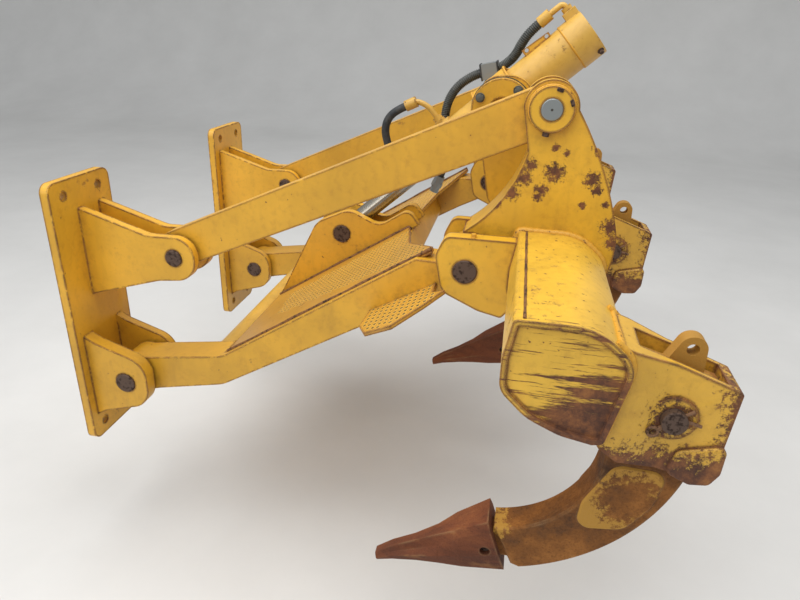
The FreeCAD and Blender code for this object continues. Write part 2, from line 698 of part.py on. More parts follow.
def make_trunnion():
    """Band round the barrel with a boss and a stub shaft on each side."""
    band = ring_along(-62, 124, BARREL_R + 16)
    reach = SUPPORT_GAP / 2 + SUPPORT_PLATE - 3
    cross = bar_across(TRUNNION, TRUNNION_R, -reach, reach)
    boss = bar_across(TRUNNION, TRUNNION_R + 18, -SUPPORT_GAP / 2 + 6, SUPPORT_GAP / 2 - 6)
    return fuse(band, cross, boss).cut(ring_along(-90, 180, BARREL_R + WELD_GAP))


def make_rod():
    reach = REACH.Length
    start = ROD_EYE_R - 12
    end = reach + PISTON_PLACE + PISTON_LENGTH + 4
    rod = Part.makeCylinder(ROD_R, end - start, ROD_PIN + STROKE_WAY * start, STROKE_WAY)
    piston = ring_along(PISTON_PLACE, PISTON_LENGTH, BARREL_R - BARREL_WALL - PIN_FIT)
    eye = bar_across(ROD_PIN, ROD_EYE_R, -ROD_EYE_WIDTH / 2, ROD_EYE_WIDTH / 2)
    rod = fuse(rod, eye, piston)
    return rod.cut(bar_across(ROD_PIN, ROD_PIN_R + ROD_EYE_SLACK, -100, 100))


# Points of the hoses: along the barrel from the trunnion, above its skin, across
GUARDED_HOSE = ((224, 48, 3), (186, 47, 8), (148, 36, 20), (114, 20, 40), (77, 16, 57), (38, 23, 64),
                (0, 44, 66), (-45, 59, 66), (-95, 63, 69), (-142, 50, 76), (-182, 23, 85), (-215, -13, 93),
                (-243, -51, 98), (-271, -90, 101), (-303, -122, 103), (-340, -142, 104))
GLAND_HOSE = ((-260, 122, 0), (-294, 132, 0), (-331, 131, 0), (-361, 114, 1), (-382, 86, 3), (-395, 55, 5))


def skin_point(along, above, y):
    """Point by its distance from the trunnion along the barrel, above the barrel's skin and across."""
    return barrel_point(along, BARREL_R + above, y)


def hose_points(table):
    """Points of a table as places at rest, spread along the barrel as its reaches grow."""
    spread = (BARREL_FRONT / HOSE_FRONT, BARREL_BACK / HOSE_BACK)
    return [skin_point(along * spread[along > 0], above, y) for along, above, y in table]


def run_of(points):
    """Smooth path of straight runs joined by tangent arcs, and the radii of the arcs."""
    edges = []
    radii = []
    here = points[0]
    for before, corner, after in zip(points, points[1:], points[2:]):
        back = before - corner
        on = after - corner
        turn = math.pi - back.getAngle(on)
        cut = 0.45 * min(back.Length, on.Length)
        radii.append(cut / math.tan(turn / 2))
        back.normalize()
        on.normalize()
        middle = back + on
        middle.normalize()
        sag = radii[-1] / math.cos(turn / 2) - radii[-1]
        start = corner + back * cut
        end = corner + on * cut
        edges.append(Part.LineSegment(here, start).toShape())
        edges.append(Part.Arc(start, corner + middle * sag, end).toShape())
        here = end
    edges.append(Part.LineSegment(here, points[-1]).toShape())
    return Part.Wire(edges), radii


def tube_along(points, radius):
    """Round tube along a smooth path, the path and the radii of its arcs."""
    path, radii = run_of(points)
    rim = Part.Wire([Part.makeCircle(radius, points[0], points[1] - points[0])])
    return path.makePipeShell([rim], True, False), path, radii


def make_hose(points):
    """Hose along a smooth path. Prints its length, its radii and its volume over section times length."""
    hose, path, radii = tube_along(points, HOSE_R)
    share = hose.Volume / (math.pi * HOSE_R ** 2 * path.Length)
    print("hose", round(path.Length), "mm, radii", [round(r) for r in radii], "volume share", round(share, 4))
    return hose


def round_bar(start, end, radius):
    """Round bar from one point to another."""
    return Part.makeCylinder(radius, (end - start).Length, start, end - start)


def beyond(points, distance):
    """Point that far past the last point of a path, straight on."""
    way = points[-1] - points[-2]
    way.normalize()
    return points[-1] + way * distance


def make_coupling(points):
    """Coupling on a hose's end: a ferrule, a six-sided nut and a capped thread."""
    corners = [V(math.cos(a), math.sin(a), 0) * COUPLING_R for a in [math.pi / 3 * i for i in range(7)]]
    nut = Part.Face(Part.makePolygon(corners)).extrude(V(0, 0, COUPLING_NUT))
    turn = FreeCAD.Rotation(V(0, 0, 1), points[-1] - points[-2])
    nut.Placement = FreeCAD.Placement(beyond(points, COUPLING_FERRULE - 2), turn)
    ferrule = round_bar(points[-1], beyond(points, COUPLING_FERRULE), FERRULE_R)
    thread = round_bar(beyond(points, COUPLING_FERRULE + COUPLING_NUT - 4), beyond(points, COUPLING_LENGTH),
                       COUPLING_R - 4)
    return fuse(ferrule, nut, thread)


def make_pipe(points, hose):
    """Bent steel pipe from a port to a ferrule, which lies straight before the hose's first run."""
    ferrule_start = beyond(hose[1::-1], FERRULE_LENGTH)
    tube = tube_along(points + [ferrule_start, beyond(hose[1::-1], FERRULE_LENGTH * 0.6)], PIPE_R)[0]
    nut = round_bar(points[0], points[0] + STROKE_UP * PIPE_NUT_RISE, PIPE_NUT_R)
    return fuse(tube, nut, round_bar(ferrule_start, hose[0], FERRULE_R))


def make_head_pipe():
    """Elbow from the port on the head to the guarded hose."""
    points = [skin_point(HEAD_PORT, rise, 0) for rise in (HEAD_PORT_RISE, 48)]
    return make_pipe(points, hose_points(GUARDED_HOSE))


def make_gland_pipe():
    """Swan-necked pipe from the port on the gland to the second hose."""
    points = [skin_point(GLAND_PORT, GLAND_PORT_RISE, 0), skin_point(GLAND_PORT, 68, 0),
              skin_point(GLAND_PORT - 9, 93, 0)]
    return make_pipe(points, hose_points(GLAND_HOSE))


def make_hose_clamp():
    """Block on the trunnion band that holds the guarded hose, with the foot that carries it."""
    near = hose_points(GUARDED_HOSE)[4:8]
    centre = (near[1] + near[2]) * 0.5
    block = square_block(centre, near[2] - near[1], CLAMP_SIZE, CLAMP_SIZE, CLAMP_SIZE)
    foot = square_block(centre - STROKE_UP * 28, STROKE_WAY, 36, 34, 40)
    clamp = fuse(block, foot).cut(tube_along(near, HOSE_R + HOSE_FIT)[0])
    boss = bar_across(TRUNNION, TRUNNION_R + 18, -SUPPORT_GAP / 2, SUPPORT_GAP / 2)
    return biggest(clamp.cut(fuse(ring_along(-62, 124, BARREL_R + 16), boss)))


def make_hose_bracket():
    """Flat lug on the barrel with two bolt holes."""
    corners = ((136, -32), (136, 19), (230, 12), (230, -32))
    outline = [skin_point(along, above, -22) for along, above in corners]
    lug = Part.Face(Part.makePolygon(outline + [outline[0]])).extrude(V(0, 9, 0))
    for along, above in ((149, 10), (219, 5)):
        lug = lug.cut(bar_across(skin_point(along, above, 0), 6, -40, 0))
    return biggest(lug.cut(ring_along(-BARREL_FRONT, BARREL_FRONT + BARREL_BACK, BARREL_R)))


def support_outline():
    """Trunnion support: round top, upright front down the beam's face, sloping back."""
    return rounded([(TRUNNION + V(-CAP_R, 0, CAP_R), CAP_R), (TRUNNION + V(CAP_R, 0, CAP_R), CAP_R),
                    (TRUNNION + V(CAP_R, 0, -60), 60), (beam_point(176, BEAM_HEIGHT + 20), 30),
                    (beam_point(190, BEAM_HEIGHT - 60), 0), (beam_point(20, 100), 0),
                    (beam_point(-20, 130), 20), (beam_point(-92, 230), 60)])


def make_support(side):
    plate = side_slab(support_outline(), side, SUPPORT_GAP / 2, SUPPORT_GAP / 2 + SUPPORT_PLATE)
    plate = plate.cut(BEAM_ENVELOPE)
    plate = plate.cut(side_bar(TRUNNION, TRUNNION_R + PIN_FIT, side, SUPPORT_GAP / 2 - 5,
                               SUPPORT_GAP / 2 + SUPPORT_PLATE + 5))
    return biggest(plate)


def make_cap(side):
    start = SUPPORT_GAP / 2 + SUPPORT_PLATE
    cap = side_bar(TRUNNION, CAP_R - 6, side, start, start + CAP_THICK)
    dish = side_bar(TRUNNION, 34, side, start + CAP_THICK - 8, start + CAP_THICK + 1)
    return cap.cut(dish)


BRACKET_Y = ARM_Y


def plate_front(centre_y):
    corners = [V(0, centre_y - PLATE_HALF_WIDTH, -PLATE_HEIGHT / 2),
               V(0, centre_y + PLATE_HALF_WIDTH, -PLATE_HEIGHT / 2),
               V(0, centre_y + PLATE_HALF_WIDTH, PLATE_HEIGHT / 2),
               V(0, centre_y - PLATE_HALF_WIDTH, PLATE_HEIGHT / 2)]
    return Part.Face(rounded([(c, 30) for c in corners]))


def make_bracket(side):
    centre = side * BRACKET_Y
    plate = plate_front(centre).extrude(V(PLATE_THICK, 0, 0))
    low = rounded([(V(PLATE_THICK - 2, 0, LF.z + 150), 0), (V(60, 0, LF.z + 130), 60),
                   (LF + V(74, 0, 74), 74), (LF + V(74, 0, -74), 74),
                   (V(60, 0, LF.z - 120), 60), (V(PLATE_THICK - 2, 0, LF.z - 140), 0)])
    high = rounded([(V(PLATE_THICK - 2, 0, UF.z + 130), 0), (UF + V(-80, 0, 62), 80),
                    (UF + V(66, 0, 66), 66), (UF + V(66, 0, -66), 66), (UF + V(-60, 0, -80), 80),
                    (V(PLATE_THICK - 2, 0, UF.z - 150), 0)])
    pieces = [side_slab(low, side, LUG_IN, LUG_IN + TOWER_PLATE),
              side_slab(low, side, LUG_OUT - LUG_PLATE, LUG_OUT),
              side_slab(high, side, TOWER_IN, TOWER_IN + TOWER_PLATE),
              side_slab(high, side, TOWER_OUT - TOWER_PLATE, TOWER_OUT)]
    bracket = fuse(plate, *pieces)
    bracket = bracket.cut(side_bar(LF, LOWER_PIN_R + PIN_FIT, side, LUG_IN - 5, LUG_OUT + 5))
    bracket = bracket.cut(side_bar(UF, UPPER_PIN_R + PIN_FIT, side, TOWER_IN - 5, TOWER_OUT + 5))
    for column in (-BOLT_SPREAD, BOLT_SPREAD):
        for row in (-BOLT_ROW, BOLT_ROW):
            hole = Part.makeCylinder(BOLT_R, PLATE_THICK + 10, V(-5, centre + column, row), V(1, 0, 0))
            bracket = bracket.cut(hole)
    return bracket


def pin_pair(place, radius, inner, outer):
    """A pin on each side, with a low domed rim at each end."""
    pins = []
    for _, side in SIDES:
        pin = side_bar(place, radius, side, inner, outer)
        pins.append(pin.makeChamfer(2.0, [e for e in pin.Edges if is_rim(e)]))
    return Part.makeCompound(pins)


def tip_pins():
    """Pin that holds each tip on its shank, its ends just inside the tip's sides."""
    pins = []
    for _, y in POCKETS:
        pins.append(bar_across(tip_pin_place(), TIP_PIN_R - PIN_FIT, y - 34, y + 34))
    return Part.makeCompound(pins)


def shank_pins():
    place = shank_pin_place()
    pins = []
    for _, y in POCKETS:
        pin = bar_across(place, SHANK_PIN_R, y - POCKET_HALF - 28, y + POCKET_HALF + 28)
        pins.append(pin.makeChamfer(2.0, [e for e in pin.Edges if is_rim(e)]))
    return Part.makeCompound(pins)


def build():
    """Every node by name."""
    nodes = {"beam": make_beam(), "frame_cross_tube": make_cross_tube(),
             "frame_cross_box": make_cross_box(), "rod_ears": make_rod_ears(),
             "cylinder_barrel": make_barrel(), "cylinder_trunnion": make_trunnion(),
             "cylinder_rod": make_rod(),
             "hose_guarded": make_hose(hose_points(GUARDED_HOSE)),
             "hose_gland": make_hose(hose_points(GLAND_HOSE)),
             "hose_coupling_guarded": make_coupling(hose_points(GUARDED_HOSE)),
             "hose_coupling_gland": make_coupling(hose_points(GLAND_HOSE)),
             "head_pipe": make_head_pipe(), "gland_pipe": make_gland_pipe(),
             "hose_clamp": make_hose_clamp(), "hose_bracket": make_hose_bracket(),
             "arm_step": make_step(),
             "lower_front_pins": pin_pair(LF, LOWER_PIN_R, LUG_IN - 4, LUG_OUT + 6),
             "upper_front_pins": pin_pair(UF, UPPER_PIN_R, TOWER_IN - 4, TOWER_OUT + 6),
             "lower_rear_pins": pin_pair(LR, LOWER_PIN_R, LUG_IN - 4, LUG_OUT + 3),
             "upper_rear_pins": pin_pair(UR, UPPER_PIN_R, TOWER_IN - 4, TOWER_OUT + COLLAR + 3),
             "shank_pins": shank_pins(), "tip_pins": tip_pins(),
             "rod_eye_pin": bar_across(ROD_PIN, ROD_PIN_R, -EAR_GAP / 2 - EAR_PLATE - 3,
                                       EAR_GAP / 2 + EAR_PLATE + 3)}
    for name, side in SIDES:
        nodes["mount_bracket_" + name] = make_bracket(side)
        nodes["lower_arm_" + name] = make_arm(side)
        nodes["upper_link_" + name] = make_upper_link(side)
        nodes["tower_" + name] = make_tower(side)
        nodes["trunnion_support_" + name] = make_support(side)
        nodes["trunnion_cap_" + name] = make_cap(side)
        nodes["deck_plate_" + name] = make_deck(side)
    for name, y in POCKETS:
        nodes["shank_pocket_" + name] = make_pocket(y)
        nodes["shank_" + name] = make_shank(y)
        nodes["shank_tip_" + name] = make_tip(y)
    return nodes


os.makedirs("parts", exist_ok=True)
for node, shape in build().items():
    shape.exportStep("parts/" + node + ".step")
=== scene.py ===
import json
import math

import bmesh
import bpy
import numpy as np
from bpy.props import FloatProperty, FloatVectorProperty, PointerProperty
from mathutils import Matrix, Vector
from mathutils.bvhtree import BVHTree


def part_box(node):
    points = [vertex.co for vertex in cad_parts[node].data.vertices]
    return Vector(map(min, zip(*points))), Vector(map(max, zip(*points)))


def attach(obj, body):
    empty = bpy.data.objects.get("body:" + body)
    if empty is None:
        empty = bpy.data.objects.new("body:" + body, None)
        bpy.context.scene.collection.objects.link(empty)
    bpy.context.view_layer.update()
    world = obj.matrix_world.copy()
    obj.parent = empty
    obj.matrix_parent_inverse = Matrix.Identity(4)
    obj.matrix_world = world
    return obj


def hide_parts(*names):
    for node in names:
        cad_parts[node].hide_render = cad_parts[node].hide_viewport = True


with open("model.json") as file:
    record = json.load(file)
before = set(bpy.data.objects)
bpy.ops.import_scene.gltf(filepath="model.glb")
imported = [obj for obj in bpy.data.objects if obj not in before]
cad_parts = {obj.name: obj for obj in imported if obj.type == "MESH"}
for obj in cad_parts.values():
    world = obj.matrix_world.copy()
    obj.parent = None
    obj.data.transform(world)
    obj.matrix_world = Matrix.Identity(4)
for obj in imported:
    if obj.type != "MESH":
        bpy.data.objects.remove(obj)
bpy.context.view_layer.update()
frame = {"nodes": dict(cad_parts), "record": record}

bl_info = {
    "name": "Three-Shank Ripper",
    "version": (1, 0, 0),
    "blender": (4, 5, 0),
    "location": "View3D > Sidebar > Ripper",
    "description": "Dresses a ripper's frame with welds, bolts, hoses and worn paint",
    "category": "Object",
}

MM = 0.001


def linear(code):
    """Linear colour of an sRGB hex code, with its fourth number one."""
    share = np.array([int(code[i:i + 2], 16) for i in (1, 3, 5)]) / 255
    low = share / 12.92
    high = ((share + 0.055) / 1.055) ** 2.4
    return (*(float(v) for v in np.where(share <= 0.04045, low, high)), 1.0)


def unit(vector):
    """The vector, or each row of an array, at length one."""
    vector = np.asarray(vector, float)
    return vector / np.linalg.norm(vector, axis=-1, keepdims=True)


def middle(node):
    """Middle of a node's box at rest."""
    low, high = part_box(node)
    return (np.array(low) + np.array(high)) / 2


def half(node):
    """Half of a node's box at rest, along each axis."""
    low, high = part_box(node)
    return (np.array(high) - np.array(low)) / 2


# Places and sizes that the frame gives, in metres. A FACE, END, IN or OUT is a distance from the
# middle plane, the same on both sides
BODY_OF = {node: body for body, nodes in frame["record"]["behaviour"]["bodies"].items()
           for node in nodes}
UPPER_REAR = middle("upper_rear_pins")
ROD_PIN = middle("rod_eye_pin")
SHANK_PIN = middle("shank_pins")
TUBE = middle("frame_cross_tube")
TRUNNION = middle("trunnion_cap_left") * np.array((1, 0, 1))
TUBE_R = half("frame_cross_tube")[2]
CAP_R = half("trunnion_cap_left")[0]
PIN_FACE = half("upper_rear_pins")[1]
ROD_PIN_FACE = half("rod_eye_pin")[1]
POCKET_FACE = half("shank_pocket_centre")[1]
TUBE_END = half("frame_cross_tube")[1]
BEAM_END = half("beam")[1]
BEAM_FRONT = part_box("beam")[0][0]
TOWER_IN = -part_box("tower_left")[1][1]
CAP_FACE = -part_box("trunnion_cap_left")[0][1]
SUPPORT_OUT, SUPPORT_IN = (-corner[1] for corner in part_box("trunnion_support_left"))
CYLINDER_WAY = unit(TRUNNION - ROD_PIN)
ACROSS = np.array((0.0, 1.0, 0.0))
CYLINDER_UP = np.cross(CYLINDER_WAY, ACROSS)
DOWN = np.array((0.0, 0.0, -1.0))

# Places and sizes that it doesn't give
GROUND = -0.759             # height of the ground at rest
HIGH = 0.8                  # above everything that is looked down on
SUNK = 0.0005               # how deep a small piece stands in the face that carries it
TOWER_OUT = 0.540
COLLAR_FACE = 0.566
COLLAR_R = 0.054
BARREL_R = 0.072
BARREL_FRONT = 0.222        # the barrel's reach from the trunnion towards its gland
BARREL_BACK = 0.333         # and towards its head
HEAD_LENGTH = 0.074
POCKETS = (("left", -1.0), ("centre", 0.0), ("right", 1.0))
SIDES = (("left", -1), ("right", 1))

# Edge roundings that aren't the user's to set
FINE_EDGE = 0.001           # pins, pipes and nuts
SHEET_EDGE = 0.0015         # tread decks and tube
TURNED_EDGE = 0.002         # cylinder
CAST_EDGE = 0.003           # beam, shanks, tips and clamp
POCKET_EDGE = 0.004


# Sizes and colours that a user would change

def paint(name, description, code):
    """A colour to choose. It starts as an sRGB hex code."""
    return FloatVectorProperty(name=name, description=description, default=linear(code), size=4,
                               min=0.0, max=1.0, subtype="COLOR")


class RipperSizes(bpy.types.PropertyGroup):
    """Real sizes of what is added to the frame."""
    edge: FloatProperty(name="Edge rounding", description="Radius at cut plate edges",
                        default=0.0025, min=0.0005, max=0.008, unit="LENGTH", precision=4)
    weld: FloatProperty(name="Weld bead", description="Radius of the welds between plates",
                        default=0.007, min=0.002, max=0.014, unit="LENGTH", precision=4)
    tread: FloatProperty(name="Tread spacing", description="Distance between tread dimples",
                         default=0.021, min=0.012, max=0.06, unit="LENGTH", precision=4)
    guard: FloatProperty(name="Guard pitch", description="Distance between turns of the spring guard",
                         default=0.0062, min=0.004, max=0.02, unit="LENGTH", precision=4)


class RipperColours(bpy.types.PropertyGroup):
    """Colours of the enamel, as it has weathered on each kind of piece, and of the hoses."""
    plate: paint("Plates", "Enamel on brackets, arms and supports", "#DAA42C")
    tower: paint("Towers", "Enamel on the towers", "#DEAA2B")
    deck: paint("Treads", "Enamel on the decks and the step", "#C08D30")
    link: paint("Links", "Enamel on the upper links", "#D6A12C")
    smooth: paint("Tube and cylinder", "Enamel on what is turned", "#D0A343")
    cast: paint("Pockets", "Enamel on the pockets", "#DCAA38")
    beam: paint("Beam", "Enamel on the beam", "#E0B038")
    hose: paint("Hoses", "Rubber of the hoses", "#24272A")


def sizes():
    """The sizes as set in the scene."""
    return bpy.context.scene.ripper_sizes


def colours():
    """The colours as set in the scene."""
    return bpy.context.scene.ripper_colours


# Meshes

def grid_faces(rows, columns, wrap):
    """Quads between neighbouring rows of a grid of points. With wrap, the last column joins the first."""
    i, j = np.meshgrid(np.arange(rows - 1), np.arange(columns if wrap else columns - 1), indexing="ij")
    k = (j + 1) % columns
    faces = np.stack([i * columns + j, i * columns + k, (i + 1) * columns + k, (i + 1) * columns + j], -1)
    return faces.reshape(-1, 4).tolist()


def rings(points):
    """A closed skin over rings of points: quads from ring to ring and one face over each end."""
    count, around = points.shape[:2]
    faces = grid_faces(count, around, True)
    faces.append(list(range(around))[::-1])
    faces.append([(count - 1) * around + i for i in range(around)])
    return points.reshape(-1, 3), faces


def lathe(profile, centre, axis, around=24, sides=0):
    """Turned form. Each (distance, radius) of the profile gives a circle at that distance along the
    axis: centre + axis * distance + (u cos a + v sin a) * radius. With sides, the circle is a polygon
    whose flats lie at the radius."""
    profile = np.asarray(profile, float)
    axis = unit(axis)
    u = unit(np.cross(axis, (0.31, 0.11, 0.94) if abs(axis[1]) > 0.9 else ACROSS))
    v = np.cross(axis, u)
    a = np.arange(around) * 2 * math.pi / around
    reach = np.ones(around)
    if sides:
        part = 2 * math.pi / sides
        reach = 1 / np.cos((a % part) - part / 2)
    turned = (np.cos(a)[:, None] * u + np.sin(a)[:, None] * v) * reach[:, None]
    points = np.asarray(centre) + profile[:, :1, None] * axis + profile[:, 1:, None] * turned[None]
    return rings(points)


def tube(path, radius, around=8, side=ACROSS):
    """A round section carried along a path. At each point the section lies square to the path's
    direction, its first axis as near as can be to side. The radius may change from point to point."""
    path = np.asarray(path, float)
    way = unit(np.gradient(path, axis=0))
    up = unit(np.cross(way, side))
    out = np.cross(up, way)
    radius = np.broadcast_to(np.asarray(radius, float), (len(path),))
    a = np.arange(around) * 2 * math.pi / around
    section = np.cos(a)[None, :, None] * out[:, None] + np.sin(a)[None, :, None] * up[:, None]
    return rings(path[:, None] + section * radius[:, None, None])


def reaches(line):
    """Distance of each point of a line from its start, along it."""
    return np.concatenate([[0.0], np.cumsum(np.linalg.norm(np.diff(line, axis=0), axis=1))])


def at(line, places):
    """Points of a line at distances from its start, along it."""
    return np.stack([np.interp(places, reaches(line), line[:, k]) for k in range(3)], -1)


def bead(path, radius, side=ACROSS):
    """Fillet weld: a round section whose radius rises and falls a tenth with each ripple, a ripple
    every three quarters of the radius, and wanders slowly by a sixth along the run."""
    path = np.asarray(path, float)
    length = reaches(path)[-1]
    path = at(path, np.linspace(0, length, max(int(length / (radius / 2.5)), 2)))
    place = np.arange(len(path)) * 0.4
    ripple = 0.1 * np.abs(np.sin(place * math.pi / 1.5))
    wander = 0.09 * np.sin(place * 0.31) + 0.07 * np.sin(place * 0.13 + 1.7)
    return tube(path, radius * (0.94 + ripple + wander), 8, side)


def circle(centre, axis, radius, count=72):
    """Points round a circle, its first point again at the end."""
    axis = unit(axis)
    u = unit(np.cross(axis, (0.31, 0.11, 0.94)))
    v = np.cross(axis, u)
    a = np.linspace(0, 2 * math.pi, count)[:, None]
    return np.asarray(centre) + radius * (np.cos(a) * u + np.sin(a) * v)


def plate(outline, origin, u, v, thick, edge):
    """A flat piece with rounded edges. The outline lies in u and v, and is carried along u x v for the
    thickness. Near each face the outline shrinks along a quarter circle of the edge radius."""
    outline = np.asarray(outline, float)
    ahead = unit(np.roll(outline, -1, 0) - outline)
    behind = unit(outline - np.roll(outline, 1, 0))
    inward = np.stack([-(ahead[:, 1] + behind[:, 1]), ahead[:, 0] + behind[:, 0]], -1)
    inward /= np.maximum(1 + np.sum(ahead * behind, 1, keepdims=True), 0.2)
    turn = np.linspace(0, math.pi / 2, 4)
    near = np.stack([edge * (1 - np.sin(turn)), edge * (1 - np.cos(turn))], -1)
    far = np.stack([near[::-1, 0], thick - near[::-1, 1]], -1)
    steps = np.concatenate([near, far])
    flat = outline[None] + inward[None] * steps[:, :1, None]
    points = (np.asarray(origin) + flat[..., :1] * np.asarray(u) + flat[..., 1:] * np.asarray(v)
              + steps[:, 1, None, None] * np.cross(u, v))
    return rings(points)


def round_box(size, corner, per=5):
    """Outline of a rectangle with its corners rounded by quarter circles, turning from u to v."""
    inner = np.asarray(size, float) / 2 - corner
    a = np.linspace(0, math.pi / 2, per)
    quarters = []
    for turns, (sx, sy) in enumerate(((1, 1), (-1, 1), (-1, -1), (1, -1))):
        t = a + turns * math.pi / 2
        quarters.append(np.array((sx, sy)) * inner + corner * np.stack([np.cos(t), np.sin(t)], -1))
    return np.concatenate(quarters)


def join(shapes):
    """Several shapes as one."""
    points = []
    faces = []
    total = 0
    for some, skin in shapes:
        points.append(some)
        faces += [[i + total for i in face] for face in skin]
        total += len(some)
    return np.concatenate(points), faces


def smooth(curve, count):
    """Points along a smooth curve through given points: Catmull-Rom, a cubic whose slope at each
    point is half the step between its neighbours."""
    curve = np.asarray(curve, float)
    ends = np.concatenate([[2 * curve[0] - curve[1]], curve, [2 * curve[-1] - curve[-2]]])
    t = np.linspace(0, len(curve) - 1, count)
    i = np.minimum(t.astype(int), len(curve) - 2)
    f = (t - i)[:, None]
    a, b, c, d = (ends[i + k] for k in range(4))
    square = 2 * a - 5 * b + 4 * c - d
    cube = 3 * b - a - 3 * c + d
    return 0.5 * (2 * b + (c - a) * f + square * f ** 2 + cube * f ** 3)


SKINS = {}


def press(node, start, way):
    """Where a straight line from a point first meets a node, and the node's normal there, or nothing."""
    if node not in SKINS:
        mesh = frame["nodes"][node].data
        SKINS[node] = BVHTree.FromPolygons([v.co.copy() for v in mesh.vertices],
                                           [tuple(p.vertices) for p in mesh.polygons])
    spot, normal, _, _ = SKINS[node].ray_cast(Vector(start), Vector(way))
    return (np.array(spot), np.array(normal)) if spot else None


def around_node(node, centre, y, first, last, count=48):
    """Points on a node's skin in the plane y, met from outside by lines towards a centre, from the
    first angle to the last in degrees, counted from rearward and up."""
    spots = []
    for angle in np.radians(np.linspace(first, last, count)):
        way = np.array((math.cos(angle), 0, math.sin(angle)))
        hit = press(node, np.array((centre[0], y, centre[2])) + way, -way)
        if hit:
            spots.append(hit[0])
    return np.array(spots)


def down_on(node, spots):
    """Points on a node's top straight below each x and y, where there is any."""
    hits = [press(node, (*spot, HIGH), DOWN) for spot in spots]
    return np.array([hit[0] for hit in hits if hit])


def stand(name, data, body=None):
    """A new object in the scene. With a body it rides on it."""
    thing = bpy.data.objects.new(name, data)
    bpy.context.scene.collection.objects.link(thing)
    if body:
        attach(thing, body)
    return thing


def piece(name, shape, look, body, sharp=35.0):
    """An object of the shape that rides on a body. Edges sharper than the angle stay sharp."""
    points, faces = shape
    mesh = bpy.data.meshes.new(name)
    mesh.from_pydata(np.asarray(points).tolist(), [], faces)
    mesh.validate()
    mesh.shade_smooth()
    mesh.set_sharp_from_angle(angle=math.radians(sharp))
    mesh.materials.append(finish(look))
    return stand(name, mesh, body)


def dress(node, look, edge):
    """Stands a copy of a node in its place, with its triangles merged, each sharp edge rounded by
    the edge radius, and its round faces shaded smooth."""
    work = bmesh.new()
    work.from_mesh(frame["nodes"][node].data)
    bmesh.ops.remove_doubles(work, verts=work.verts, dist=0.00002)
    bmesh.ops.dissolve_limit(work, angle_limit=math.radians(0.5), verts=work.verts, edges=work.edges)
    mesh = bpy.data.meshes.new(node + "_finish")
    work.to_mesh(mesh)
    work.free()
    mesh.materials.append(finish(look))
    mesh.shade_smooth()
    mesh.set_sharp_from_angle(angle=math.radians(32))
    thing = stand(node + "_finish", mesh, BODY_OF[node])
    bevel = thing.modifiers.new("Edges", "BEVEL")
    bevel.width = edge
    bevel.segments = 2
    bevel.limit_method = "ANGLE"
    bevel.angle_limit = math.radians(32)
    bevel.use_clamp_overlap = True
    bevel.harden_normals = True
    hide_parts(node)
    return thing


# Materials

# What nodes that join masks, measure or mix are set to, and the sockets of a mix of colours
MOST = {"operation": "MAXIMUM"}
TIMES = {"operation": "MULTIPLY"}
PLUS = {"operation": "MULTIPLY_ADD"}
SIZE = {"operation": "ABSOLUTE"}
GAP = {"operation": "DISTANCE", "out": "Value"}
TURN = {"operation": "DOT_PRODUCT", "out": "Value"}
MIX = {"data_type": "RGBA", "out": 2}
SHARE, BELOW, ABOVE = 0, 6, 7


def add(tree, kind, inputs=(), out=0, stops=(), **settings):
    """Adds a shader node with its settings, sets or links its inputs in order or by name, and returns
    one of its outputs. Stops are the places and hex codes of a colour ramp."""
    node = tree.nodes.new("ShaderNode" + kind)
    for key, value in settings.items():
        setattr(node, key, value)
    for key, value in (inputs.items() if isinstance(inputs, dict) else enumerate(inputs)):
        if isinstance(value, bpy.types.NodeSocket):
            tree.links.new(value, node.inputs[key])
        else:
            node.inputs[key].default_value = value
    for number, (place, code) in enumerate(stops):
        if number > 1:
            node.color_ramp.elements.new(place)
        node.color_ramp.elements[number].position = place
        node.color_ramp.elements[number].color = linear(code)
    return node.outputs[out]


def start(name, colour, **shader):
    """A material of one shader and one colour. Returns it with its tree, its shader's sockets and the
    object's own coordinates in metres."""
    material = bpy.data.materials.new(name)
    material.use_nodes = True
    tree = material.node_tree
    shine = tree.nodes["Principled BSDF"].inputs
    shine["Base Color"].default_value = colour
    for key, value in shader.items():
        shine[key.replace("_", " ")].default_value = value
    return material, tree, shine, add(tree, "TexCoord", out="Object")


def coats(tree, shine, colour, layers):
    """The shader's colour: the first colour with each layer laid over it in turn, by the share that
    comes before the layer's colour."""
    for share, above in layers:
        colour = add(tree, "Mix", {SHARE: share, BELOW: colour, ABOVE: above}, **MIX)
    tree.links.new(colour, shine["Base Color"])


def cloud(tree, where, size_mm, low=0.0, high=1.0, detail=6.0, rough=0.65, stretch=(1, 1, 1)):
    """Cloudy pattern whose blotches are about the size given, held to what lies from low to high. A
    stretch below one along an axis makes them longer that way."""
    if stretch != (1, 1, 1):
        where = add(tree, "Mapping", {"Vector": where, "Scale": stretch})
    fac = add(tree, "TexNoise", {"Vector": where, "Scale": 1 / (size_mm * MM), "Detail": detail,
                                 "Roughness": rough})
    return fac if (low, high) == (0.0, 1.0) else add(tree, "MapRange", (fac, low, high))


def ragged(tree, first, share, second, low, high):
    """A mask with a ragged border, from two patterns: a share of the first and the whole of the second
    are added, and the sum counts as nought at low and one at high."""
    return add(tree, "MapRange", (add(tree, "Math", (first, share, second), **PLUS), low, high))


def from_side(tree, where, place):
    """Distance, as seen from the side, from a line across the machine at x and z."""
    flat = add(tree, "VectorMath", (where, (1.0, 0.0, 1.0)), **TIMES)
    return add(tree, "VectorMath", (flat, (place[0], 0.0, place[1])), **GAP)


def corners(tree, reach_mm):
    """How near a point is to a corner, from nought to one: how far its normal turns when corners are
    rounded by the reach."""
    soft = add(tree, "Bevel", {"Radius": reach_mm * MM}, samples=6)
    turn = add(tree, "VectorMath", (soft, add(tree, "NewGeometry", out="Normal")), **TURN)
    return add(tree, "MapRange", (turn, 0.998, 0.95))


